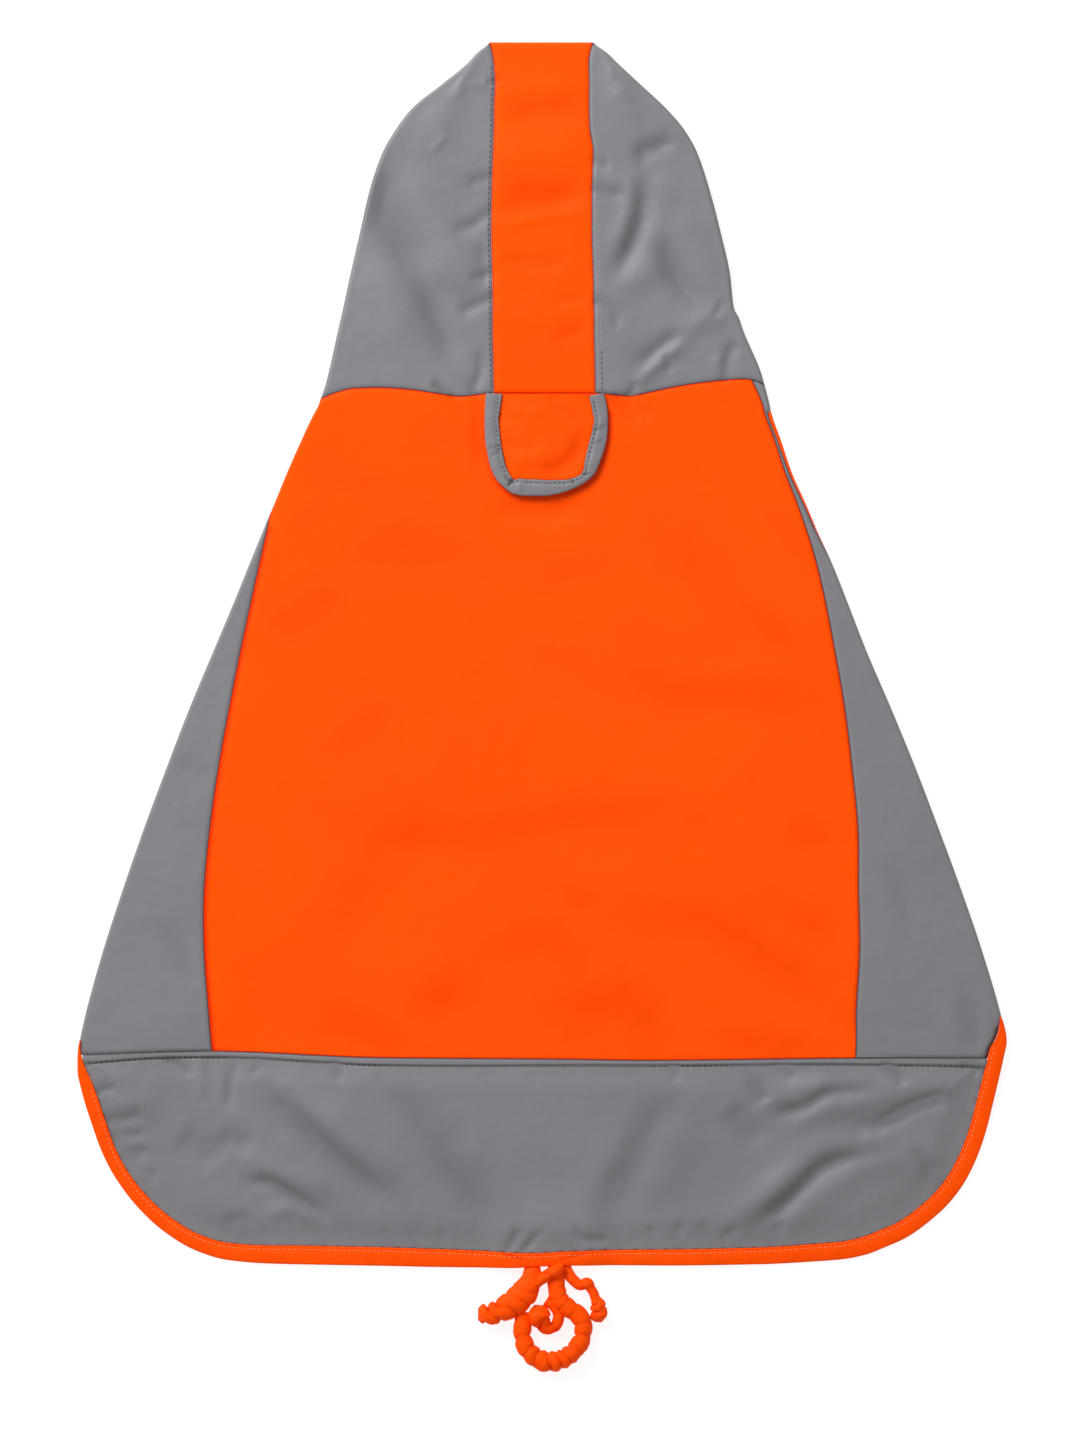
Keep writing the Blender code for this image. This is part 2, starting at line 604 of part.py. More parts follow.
def rump_panel(cloth):
    """The rump panel, from the hem's tape to the hem seam, with its welt."""
    below = hem_bound[:, 1] < hem_seam_up(hem_bound[:, 0]) - RUMP_CORNER
    edge = along(hem_bound[below], RUMP_COLUMNS)

    def place(x, y, depth):
        welt = WELT_RAISE * (1 - ease((hem_seam_up(x) - y - WELT_DEPTH) / WELT_EDGE))
        return np.stack((x, y, WALL + lift(x, y) + welt - depth), axis=-1)

    cells = between(edge, lambda x: hem_seam_up(x) - HALF_GAP, RUMP_ROWS)
    cloth_wall("rump_panel", place, *cells, cloth)


def leash_flap(cloth, tape_cloth):
    """The flap and its tape, which lie on the back."""

    def base(x, y):
        return WALL + lift(x, y) + SEAM_GAP + FLAP_RISE * ease((FLAP_TOP - y) / FLAP_LENGTH)

    def place(x, y, depth):
        return np.stack((x, y, WALL + base(x, y) - depth), axis=-1)

    path = along(FLAP_EDGE, FLAP_STATIONS)
    tape("flap_binding", path, np.full(len(path), FLAP_TAPE_WIDTH), base, tape_cloth)
    beside = path + sideways(path) * (FLAP_TAPE_WIDTH + FLAP_GAP)
    edge = along(beside[beside[:, 1] < FLAP_TOP - FLAP_CORNER], FLAP_COLUMNS)
    cells = between(edge, lambda x: FLAP_TOP + 0 * x, np.linspace(0, 1, FLAP_ROWS))
    cloth_wall("leash_flap", place, *cells, cloth)


def leg_loop(name, gathers, depth, rows, cloth):
    """A strand of gathered elastic on the surface: an oval section that swells and thins along it."""
    count = round(way_along(np.asarray(rows))[-1] / LOOP_STEP)
    middle = along(rows, count)
    place = np.linspace(0, 1, count)
    gather = depth * np.cos(2 * math.pi * gathers * place) * ease(place / GATHER_START)
    wide, high = middle[:, 2] * (1 + gather), middle[:, 3] * (1 + gather / 2)
    angle = 2 * math.pi * np.arange(LOOP_SIDES) / LOOP_SIDES
    out = sideways(middle)[:, None, :] * (wide[:, None] * np.cos(angle))[:, :, None]
    z = high[:, None] * (1 + np.sin(angle))
    lofted(name, np.concatenate((middle[:, None, :2] + out, z[:, :, None]), axis=2), cloth)


def main():
    for existing in list(bpy.data.objects):
        bpy.data.objects.remove(existing)
    collection = bpy.data.collections.new(COLLECTION)
    bpy.context.scene.collection.children.link(collection)
    orange = material("orange coated softshell", ORANGE, 0.6)
    grey = material("grey coated softshell", GREY, 0.55)

    back_panel(orange)
    chest_panel(orange)
    rump_panel(grey)
    hood_centre(orange)
    for side in ("left", "right"):
        gore(side, grey)
        hood_side(side, grey)
    tape("hem_binding", hem_path[1:-1], hem_width[1:-1], lift, orange)
    tape("arch_binding", arch_path[1:-1], arch_width[1:-1], lambda x, y: 0 * x, orange)
    leash_flap(orange, grey)
    for name, (gathers, depth, rows) in LOOPS.items():
        leg_loop(name, gathers, depth, rows, orange)


main()
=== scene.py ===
# %% [markdown]
# # A dog's raincoat, laid out flat
# The coat is sewn from flat panels, pressed into a tube at the body and the hood, and it lies on its belly
# side with its back up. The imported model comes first, as a fixed frame in metres. Every sheet of cloth
# below is laid on the same lines as its solid there, only finer, with the creases, stitches and finish that
# the solid leaves out.

# %% Load the frame
import math

import bmesh
import bpy
import numpy as np
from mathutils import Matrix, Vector


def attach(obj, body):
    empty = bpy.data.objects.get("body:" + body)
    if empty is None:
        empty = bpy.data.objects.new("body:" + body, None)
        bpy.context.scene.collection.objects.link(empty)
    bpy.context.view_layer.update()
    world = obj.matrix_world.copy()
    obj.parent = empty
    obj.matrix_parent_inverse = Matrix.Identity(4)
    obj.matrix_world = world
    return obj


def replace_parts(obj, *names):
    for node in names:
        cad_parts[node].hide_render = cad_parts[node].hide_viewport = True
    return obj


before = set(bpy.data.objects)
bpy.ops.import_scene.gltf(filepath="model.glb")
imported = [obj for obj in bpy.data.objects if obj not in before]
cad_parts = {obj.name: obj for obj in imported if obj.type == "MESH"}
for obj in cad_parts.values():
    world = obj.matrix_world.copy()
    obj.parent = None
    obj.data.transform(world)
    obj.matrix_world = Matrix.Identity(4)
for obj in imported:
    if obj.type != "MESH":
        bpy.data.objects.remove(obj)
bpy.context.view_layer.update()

# %% [markdown]
# ## Units
# The pattern is worked out in millimetres, as a maker would measure it, and becomes metres when a mesh is
# made. The middle of the outline is the origin of the frame.

# %% Units
METRES = 0.001
CENTRE = (0.691, 0.379)
WALL = 1.2  # the softshell's thickness
SEAM_GAP = 0.06  # the solids keep 0.3 mm apart; the cloth meets
HALF_GAP = SEAM_GAP / 2
print("cloth", WALL, "mm thick; the outline's middle is at", CENTRE, "mm")

# %% [markdown]
# ## Camera
# The coat was photographed straight from above, a little below its middle. A long lens a few metres up
# gives the same flat look as that picture: the height of a fold hardly moves it on the picture.

# %% Camera
PICTURE_HEIGHT = 0.7515  # metres of floor from the picture's lower edge to its upper
PICTURE_MIDDLE = (0.0006, -0.0089)  # its middle on the floor, in metres
LENS = 150.0
SENSOR = 36.0
camera_data = bpy.data.cameras.new("overhead camera")
camera_data.lens = LENS
camera_data.sensor_width = SENSOR
camera = bpy.data.objects.new("overhead camera", camera_data)
camera.location = (*PICTURE_MIDDLE, PICTURE_HEIGHT * LENS / SENSOR)
camera_data.clip_end = 20.0
bpy.context.scene.collection.objects.link(camera)
bpy.context.scene.camera = camera
print("camera height", round(camera.location.z, 3), "m")

# %% [markdown]
# ## Smooth curves from short tables
# A seam is drawn from a few measured places. Between them it runs on a cubic whose slope at each place is
# the harmonic mean of the slopes on both sides, so it never bulges past a measured place as a plain spline
# would.

# %% Smooth curves
def smooth(table, column=1):
    """A table's column as a function of its first: cubic between rows, harmonic mean slopes at them."""
    rows = np.asarray(table, float)
    at, value = rows[:, 0], rows[:, column]
    step = np.diff(at)
    slope = np.diff(value) / step
    both = slope[:-1] * slope[1:]
    total = np.where(both > 0, slope[:-1] + slope[1:], 1)
    tangent = np.concatenate(([slope[0]], np.where(both > 0, 2 * both / total, 0), [slope[-1]]))

    def read(place):
        row = np.clip(np.searchsorted(at, place) - 1, 0, len(step) - 1)
        part = np.clip((place - at[row]) / step[row], 0, 1)
        rest = 1 - part
        ends = value[row] * rest**2 * (1 + 2 * part) + value[row + 1] * part**2 * (1 + 2 * rest)
        return ends + step[row] * part * rest * (tangent[row] * rest - tangent[row + 1] * part)

    return read


def ease(value):
    """0 below 0, 1 above 1, and 3 v squared less 2 v cubed between."""
    part = np.clip(value, 0, 1)
    return part * part * (3 - 2 * part)


def way_along(path):
    """How far along a path each of its points lies: the running sum of its steps' lengths."""
    return np.concatenate(([0], np.cumsum(np.linalg.norm(np.diff(path[:, :2], axis=0), axis=1))))


def along(rows, count):
    """A smooth curve through a table's rows, as points evenly spaced along it."""
    rows = np.asarray(rows, float)
    table = np.column_stack((way_along(rows), rows))
    fine = np.linspace(0, table[-1, 0], 8 * count)
    drawn = np.column_stack([smooth(table, column)(fine) for column in range(1, table.shape[1])])
    places = np.linspace(0, way_along(drawn)[-1], count)
    return np.column_stack([np.interp(places, way_along(drawn), value) for value in drawn.T])


def sideways(path):
    """The direction to the left of the way that a path runs, at each of its points."""
    way = np.gradient(path[:, :2], axis=0)
    way /= np.linalg.norm(way, axis=1, keepdims=True)
    return np.column_stack((-way[:, 1], way[:, 0]))


print("a curve through three places, read at 0.5:", round(float(smooth(((0, 0), (1, 1), (2, 0)))(0.5)), 3))

# %% [markdown]
# ## The pattern
# One table gives the body's folds and seams at several heights, and another the hood's. A seam of the body
# is given by how far it lies in from its fold, and less than nothing once it has passed underneath.

# %% The pattern's tables
# The body. Each seam is given by how far it lies in from its fold, less than nothing where it is underneath.
BODY_COLUMNS = ("up", "fold_left", "back_left", "chest_left", "chest_right", "back_right", "fold_right")
BODY_ROWS = (
    (-188.0, -240.9, 71.5, -125.0, -98.0, 80.5, 243.6),
    (-173.6, -239.1, 68.2, -118.0, -93.0, 78.2, 241.9),
    (-159.0, -236.0, 64.0, -112.0, -88.0, 75.0, 238.7),
    (-126.0, -226.9, 52.5, -97.0, -77.0, 63.6, 229.0),
    (-95.0, -216.9, 42.5, -82.0, -66.0, 53.6, 218.4),
    (-64.0, -206.2, 34.6, -67.0, -55.0, 42.4, 207.0),
    (-32.0, -194.3, 27.2, -51.0, -43.0, 33.2, 194.8),
    (-1.0, -182.4, 20.9, -36.0, -32.0, 24.3, 182.1),
    (30.0, -169.4, 14.0, -24.0, -22.0, 16.3, 168.8),
    (56.0, -158.5, 8.7, -12.5, -10.5, 11.2, 158.7),
    (76.0, -150.4, 5.0, -4.5, -0.1, 7.9, 150.7),
    (90.0, -144.7, 2.5, -2.8, 0.9, 5.6, 144.2),
    (105.0, -138.4, -0.4, -4.0, 1.3, 4.5, 137.9),
    (122.0, -131.4, -3.5, -6.6, 1.5, 3.5, 130.3),
    (139.0, -123.9, -5.4, -8.4, 1.8, 3.3, 124.6),
    (152.5, -117.5, -6.6, -9.6, 2.0, 3.5, 119.8),
    (155.5, -115.7, -6.8, -9.8, -2.6, 3.6, 119.2),
    (172.0, -110.9, -7.2, -10.0, -3.0, 6.4, 115.4),
)

# The hood, from the neck seam up: its side folds, the centre strip's edges, and how far the rim of the face
# opening lies from the middle underneath.
HOOD_COLUMNS = ("up", "fold_left", "strip_left", "strip_right", "fold_right", "face_rim")
HOOD_ROWS = (
    (145.0, -120.0, -24.2, 28.5, 124.0, 18.0),
    (160.0, -113.6, -24.2, 28.5, 118.2, 24.0),
    (174.0, -109.9, -24.4, 28.3, 114.3, 33.0),
    (196.0, -105.0, -24.8, 27.8, 105.0, 45.0),
    (202.0, -103.6, -24.8, 27.8, 103.0, 47.0),
    (207.0, -102.5, -24.8, 27.7, 100.4, 49.0),
    (225.0, -98.6, -25.0, 27.4, 98.3, 52.0),
    (246.0, -93.8, -25.5, 26.7, 93.6, 52.0),
    (270.0, -88.2, -25.2, 26.8, 87.3, 44.0),
    (288.0, -81.9, -24.6, 27.4, 81.2, 34.0),
    (300.0, -75.0, -24.2, 25.6, 74.4, 28.0),
    (311.0, -66.5, -24.1, 25.2, 64.9, 25.0),
    (323.0, -51.5, -23.6, 25.3, 52.1, 25.0),
    (334.0, -38.0, -24.2, 25.0, 40.2, 25.0),
    (340.0, -32.4, -25.0, 25.6, 34.0, 25.2),
    (343.0, -28.4, -25.9, 26.6, 29.6, 26.0),
    (344.9, -26.3, -26.6, 27.4, 27.6, 26.6),
)
HOOD_TOP = 345.0  # where the centre strip folds over
HOOD_SIDE_TOP = 344.6  # where the hood's sides run out beside that fold
STRIP_END = 304.0  # the strip's end underneath, at the top of the face opening

NECK_BLEND = (158.0, 170.0)  # where the side folds pass from the body's table to the hood's

print(len(BODY_ROWS), "rows of the body and", len(HOOD_ROWS), "of the hood")

# %% [markdown]
# ## Cross seams and taped edges
# The neck seam and the hem seam run across the coat, so each is a height at places across. The free edge is
# bound in tape, along the hem and on under the belly. It curves back on itself, so its table follows the
# way along it.

# %% Cross seams and taped edges
TAPE_WIDTH = 9.8
TAPE_THICK = 2.0
HEM_STATIONS = 420  # places along the hem's tape
ARCH_STATIONS = 50

# Seams that run across, as (across, up). The neck seam goes on round both folds and along underneath.
NECK_SEAM = (
    (-249.0, 147.0), (-193.0, 149.0), (-147.0, 153.5), (-120.0, 157.6), (-107.0, 163.0), (-96.0, 165.6),
    (-83.5, 165.9), (-67.0, 164.8), (-54.0, 162.9), (-42.0, 161.4), (-24.0, 163.0), (27.5, 163.0),
    (45.6, 161.6), (60.0, 164.2), (73.8, 167.0), (90.3, 169.2), (105.0, 170.3), (111.0, 169.6),
    (121.0, 164.0), (144.0, 157.0), (184.0, 150.0), (234.0, 147.0), (286.0, 149.0), (326.0, 153.5),
    (348.0, 157.6),
)
HEM_SEAM = (
    (-240.0, -180.1), (-170.0, -178.3), (-84.0, -181.6), (10.0, -182.4), (56.0, -183.0), (162.0, -181.9),
    (240.0, -181.8),
)

# The tape's free edge, down the left side, along the hem and up the right side, and the tape's width there
HEM_EDGE = (
    (-239.0, -172.4, 0.7), (-239.8, -176.9, 1.3), (-240.1, -183.3, 2.9), (-240.0, -189.6, 5.0),
    (-238.9, -194.9, 6.2), (-237.3, -201.3, 6.9), (-235.5, -207.6, 7.3), (-233.1, -215.0, 7.3),
    (-228.6, -228.0, 7.2), (-224.6, -236.9, 7.2), (-220.0, -244.9, 7.2), (-209.4, -258.8, 7.5),
    (-195.5, -271.7, 7.9), (-179.0, -281.6, 8.3), (-162.4, -286.6, 8.8), (-142.6, -288.4, 9.3),
    (-124.8, -288.9, 9.7), (-80.0, -289.7, 9.6), (-52.2, -290.3, 9.3), (-16.5, -290.6, 8.0),
    (2.0, -289.7, 7.0), (13.4, -289.3, 7.3), (31.6, -289.3, 7.8), (65.9, -289.5, 8.3),
    (115.6, -288.8, 8.7), (140.4, -287.5, 9.0), (157.0, -286.2, 9.1), (168.6, -283.9, 9.2),
    (178.5, -280.1, 9.1), (190.1, -274.8, 9.0), (206.6, -262.4, 9.0), (214.9, -253.6, 9.0),
    (221.5, -243.7, 9.0), (227.3, -231.2, 8.8), (231.4, -218.8, 8.6), (234.8, -204.8, 8.4),
    (238.1, -190.7, 8.2), (240.5, -179.9, 8.0), (241.7, -173.3, 6.4), (241.4, -169.2, 4.6),
    (240.2, -164.0, 2.4), (238.9, -160.1, 0.7),
)
# and on from fold to fold underneath, in an arch that leaves the belly free
ARCH_EDGE = (
    (-240.2, -187.0), (-200.0, -157.0), (-160.0, -122.0), (-120.0, -83.0), (-80.0, -42.0), (-40.0, -5.0),
    (0.0, 10.0), (40.0, -3.0), (80.0, -36.0), (120.0, -74.0), (160.0, -111.0), (200.0, -144.0),
    (241.9, -174.0),
)
ARCH_TAPE_END = ((0.0, 0.9), (10.0, 7.4), (15.0, TAPE_WIDTH))
ARCH_GAP = (0.6, 1.5, 30.0)  # beside the arch's tape, more at its two ends over this way
ARCH_CLEAR = 6.0  # the upper layer keeps its height this far past the arch
ARCH_SETTLE = 60.0  # and then sinks to the surface over this length
HEM_SIDE = 72  # stations of the hem's tape that run up beside a gore
EDGE_CLEAR = 0.4  # a gore's least reach from the fold beside a tape
print(len(HEM_EDGE), "places along the hem's edge and", len(ARCH_EDGE), "along the belly arch")

# %% [markdown]
# ## How the coat lies
# A place on the cloth is (across, up): across is the way over the upper layer, and past a side fold it goes
# on round the fold and back underneath. One function carries such a place, at any depth in the cloth, to
# its point on the table. The whole coat could be draped by simulation, but its lines are known from the
# pattern, and a map like this keeps every seam closed.

# %% The map from the pattern to the table
BODY = {name: smooth(BODY_ROWS, n) for n, name in enumerate(BODY_COLUMNS)}
HOOD = {name: smooth(HOOD_ROWS, n) for n, name in enumerate(HOOD_COLUMNS)}
arch_up = smooth(ARCH_EDGE)
hem_seam_up = smooth(HEM_SEAM)
neck_up = smooth(NECK_SEAM)


def fold(side, up):
    """Where the cloth folds at one side, from the body's table to the hood's over the neck seam."""
    hood_part = ease((up - NECK_BLEND[0]) / (NECK_BLEND[1] - NECK_BLEND[0]))
    return BODY["fold_" + side](up) * (1 - hood_part) + HOOD["fold_" + side](up) * hood_part


def seam(name, up):
    """The place across of one of the body's seams. The under part is counted on past its own fold."""
    side = name.split("_")[1]
    inward = 1 if side == "left" else -1
    return fold(side, up) + inward * BODY[name](up)


def beneath(across, up):
    """The X of a place, which is back underneath where it lies past a fold."""
    left, right = fold("left", up), fold("right", up)
    return np.where(across > right, 2 * right - across, np.where(across < left, 2 * left - across, across))


print("left fold at the hem:", round(float(fold("left", -170.0)), 1), "mm")

# %% [markdown]
# ## How high the cloth lies
# The upper layer lies a little above the under one, and fuller at the hood. Inside the belly arch it has
# nothing beneath it and sinks to the table, and in the middle of the hem it rises over the ends of the leg
# loops. The largest folds are soft ridges. All of it could be sculpted, but as one function of the place it
# is the same on both sides of a seam.

# %% Height of the upper layer
LAYER_LIFT = 2.4  # underside of the upper layer above the surface
HOOD_LIFT = 3.3  # the same at the hood, which lies fuller
HOOD_RISE = 150.0  # from here up it passes from one to the other
HOOD_RISE_LENGTH = 60.0

# The hem's middle lies over the ends of the leg loops
LOOPS_MIDDLE = 4.0
LOOPS_HALF = 16.0
LOOPS_EASE = 22.0
LOOPS_RAISE = 3.2
LOOPS_START = -245.0  # and rises from here towards the hem
LOOPS_LENGTH = 32.0

# The largest folds: soft ridges, as (from across, from up, to across, to up, width, rise)
FOLD_ROWS = (
    (-84.0, 252.0, -66.0, 196.0, 9.0, 1.5),  # hood, left side
    (-44.0, 322.0, -58.0, 292.0, 8.0, 1.2),
    (39.0, 335.0, 42.0, 312.0, 7.0, 1.2),  # hood, right side
    (68.0, 234.0, 40.0, 216.0, 7.0, 1.4),
    (72.0, 214.0, 90.0, 202.0, 6.0, 1.6),
    (76.0, 200.0, 52.0, 172.0, 6.0, 1.2),
    (-128.0, -198.0, -84.0, -244.0, 9.0, 2.6),  # rump, left half
    (-88.0, -196.0, -34.0, -252.0, 11.0, 3.0),
    (-150.0, -236.0, -108.0, -252.0, 8.0, 1.8),
    (120.0, -206.0, 196.0, -198.0, 8.0, 2.2),  # rump, right half
    (98.0, -268.0, 142.0, -238.0, 9.0, 2.6),
    (150.0, -232.0, 200.0, -234.0, 9.0, 2.4),
    (80.0, -196.0, 34.0, -248.0, 13.0, 2.2),
)


def ridge(x, y, from_across, from_up, to_across, to_up, width, rise):
    """A soft ridge between two places, which fades to a third at both."""
    run_x, run_y = to_across - from_across, to_up - from_up
    part = ((x - from_across) * run_x + (y - from_up) * run_y) / (run_x**2 + run_y**2)
    part = np.clip(part, 0, 1)
    off = np.hypot(x - from_across - part * run_x, y - from_up - part * run_y)
    return rise * np.exp(-((off / width) ** 2)) * np.sin(math.pi * (0.1 + 0.8 * part))


def lift(x, y):
    """How far the upper layer's underside lies above the surface."""
    height = LAYER_LIFT + (HOOD_LIFT - LAYER_LIFT) * ease((y - HOOD_RISE) / HOOD_RISE_LENGTH)
    height = height * (1 - ease((arch_up(x) - y - ARCH_CLEAR) / ARCH_SETTLE))
    middle = 1 - ease((np.abs(x - LOOPS_MIDDLE) - LOOPS_HALF) / LOOPS_EASE)
    height = height + LOOPS_RAISE * middle * ease((LOOPS_START - y) / LOOPS_LENGTH)
    return height + sum(ridge(x, y, *row) for row in FOLD_ROWS)


print("upper layer's height at the waist:", round(float(lift(0.0, 100.0)), 2), "mm")

# %% [markdown]
# ## Round the folds
# At a side the cloth turns in a half circle from the upper layer to the under one, and a place past the
# fold is carried round it and back. The pattern counts the fold as flat, two radii wide, and the way round
# is longer, by some 2 mm. A bend modifier would keep the length, but it takes one straight fold, and here
# the fold slants and its radius changes along it.

# %% Round the folds
def turned(place, edge, radius, depth):
    """Carries places past an edge round it and back, at a depth in the cloth.

    Gives how far out they lie, and 1 on top to 0 underneath. The turn is a half circle of that radius.
    """
    beyond = place - edge
    turn = np.clip(beyond / radius, -1, 1) * math.pi / 2
    flat = np.maximum(np.abs(beyond), radius)
    return edge - flat + (radius - depth) * np.cos(turn), (1 - np.sin(turn)) / 2


def through(thickness, top, depth):
    """The height at a depth under the outer face, where top is 1 on the upper layer and 0 underneath."""
    return thickness * top + depth * (1 - 2 * top)


print("a place 10 mm past a fold lies", round(-float(turned(10.0, 0.0, 1.8, 0.0)[0]), 2), "mm in from it")

# %% [markdown]
# ## Edges of the panels
# Every panel ends at a seam or beside a tape. An edge is a function of the height, or of the place across
# where the seam runs across. The two panels of a seam read the same one, so they can't drift apart.

# %% Edges of the panels
def shortest_way(path):
    """How far along a path each of its points lies from the nearer end."""
    gone = way_along(path)
    return np.minimum(gone, gone[-1] - gone)


def hem_tape():
    """The hem's tape: its free edge, its width there, and the edge of the panels beside it."""
    rows = along(HEM_EDGE, HEM_STATIONS)
    path, width = rows[:, :2], rows[:, 2]
    return path, width, path + sideways(path) * (width + SEAM_GAP)[:, None]


def arch_tape():
    """The same of the arch's tape."""
    path = along(ARCH_EDGE, ARCH_STATIONS)
    width = smooth(ARCH_TAPE_END)(shortest_way(path))
    least, most, length = ARCH_GAP
    gap = most + (least - most) * ease(shortest_way(path) / length)
    return path, width, path + sideways(path) * (width + gap)[:, None]


hem_path, hem_width, hem_bound = hem_tape()
arch_path, arch_width, arch_bound = arch_tape()


def taped_edge(side, up):
    """A gore's edge beside the tape: the arch's tape underneath, and on top the end of the hem's."""
    peak = np.argmax(arch_bound[:, 1])
    if side == "left":
        inward, under, over = 1, arch_bound[: peak + 1], hem_bound[:HEM_SIDE][::-1]
    else:
        inward, under, over = -1, arch_bound[peak:][::-1], hem_bound[-HEM_SIDE:]
    below = inward * (np.interp(up, under[:, 1], under[:, 0]) - fold(side, up))
    above = inward * (np.interp(up, over[:, 1], over[:, 0]) - fold(side, up))
    return fold(side, up) + inward * np.where(below > EDGE_CLEAR, -below, np.maximum(above, EDGE_CLEAR))


def hem_line(across, up):
    """The hem seam's height, as the body's lower edge."""
    return hem_seam_up(beneath(across, up)) + HALF_GAP


def neck_line(across, up):
    """The neck seam's height, as the body's upper edge."""
    return neck_up(across) - HALF_GAP


def hood_line(across, up):
    """The neck seam's height, as the hood's lower edge."""
    return neck_up(across) + HALF_GAP


def hood_end(across, up):
    """The height at which the hood's sides run out."""
    return HOOD_SIDE_TOP


def arch_line(across, up):
    """The height of the belly arch's taped edge."""
    return np.interp(beneath(across, up), arch_bound[:, 0], arch_bound[:, 1])


def strip_edge(side, up):
    """Where an edge of the hood's centre strip lies across."""
    return HOOD["strip_" + side](up)


def face_edge(side, up):
    """A hood side's edge underneath: the face opening's rim, and above it the centre strip's edge."""
    if side == "left":
        return 2 * fold(side, up) - np.minimum(strip_edge(side, up), -HOOD["face_rim"](up)) + SEAM_GAP
    return 2 * fold(side, up) - np.maximum(strip_edge(side, up), HOOD["face_rim"](up)) - SEAM_GAP


print("tape:", *(round(float(way_along(path)[-1])) for path in (hem_path, arch_path)), "mm along hem and arch")

# %% [markdown]
# ## Creases
# Softshell laid on a table keeps soft troughs where it was folded, with a rise beside each. Each row gives
# how far the cloth stands up or sinks, how wide the fold is, and three or four places along it. Across the
# fold the height falls off as a bell curve, and along it as an S from nothing to full and back.

# %% The creases that can be seen from above
HOOD_CREASES = (
    (0.8, 3.0, (-34, 340), (-40, 326), (-46, 311)),
    (-0.9, 1.3, (-22, 325), (-25, 324), (-29, 325)),
    (0.5, 2.2, (-28, 323), (-35, 323), (-40, 324)),
    (0.5, 2.0, (-50, 295), (-54, 291), (-58, 288)),
    (-1.3, 11.0, (-90, 292), (-84, 268), (-74, 248), (-60, 230), (-50, 220)),
    (-1.1, 7.0, (-62, 226), (-55, 208), (-50, 190), (-45, 170)),
    (1.2, 10.0, (-70, 288), (-56, 258), (-45, 232), (-40, 206)),
    (1.0, 9.0, (-94, 236), (-78, 212), (-68, 180)),
    (-0.7, 3.0, (-26, 275), (-32, 273), (-39, 271)),
    (-0.9, 3.4, (-26, 257), (-35, 250), (-47, 246)),
    (-0.7, 3.0, (-26, 225), (-32, 223), (-37, 225)),
    (-1.0, 3.2, (-26, 212), (-34, 208), (-45, 204)),
    (-0.8, 4.0, (-32, 242), (-30, 231), (-28, 215)),
    (-0.9, 1.6, (-52, 163), (-54, 166), (-57, 168)),
    (-0.8, 3.0, (-35, 164), (-31, 176), (-32, 187)),
    (0.9, 2.2, (34, 339), (36, 333), (39, 325)),
    (0.8, 6.0, (39, 325), (45, 312), (53, 301)),
    (-1.3, 5.0, (46, 285), (59, 290), (72, 296)),
    (-0.8, 3.4, (29, 268), (37, 266), (44, 269)),
    (-1.5, 5.2, (48, 276), (53, 259), (49, 243), (36, 219)),
    (1.2, 5.0, (44, 281), (48, 265), (42, 246), (34, 231)),
    (1.0, 9.0, (66, 284), (62, 256), (54, 226)),
    (-1.5, 6.0, (60, 246), (68, 228), (78, 212), (94, 204)),
    (1.1, 8.0, (70, 262), (82, 234), (97, 216)),
    (-1.0, 2.0, (91, 204), (94, 209), (93, 213)),
    (1.0, 5.0, (98, 208), (86, 201), (72, 194)),
    (-1.3, 4.0, (75, 197), (62, 187), (48, 174)),
    (0.9, 3.0, (52, 170), (66, 182), (79, 192)),
    (-1.2, 3.2, (95, 171), (97, 181), (103, 192)),
    (1.0, 3.4, (94, 173), (93, 178), (90, 183)),
    (-0.8, 2.0, (67, 176), (66, 180), (63, 183)),
    (-0.7, 3.0, (28, 282), (32, 281), (37, 282)),
    (-0.9, 3.2, (30, 210), (38, 205), (41, 194)),
    (-0.7, 2.0, (46, 162), (48, 165), (49, 170)),
)
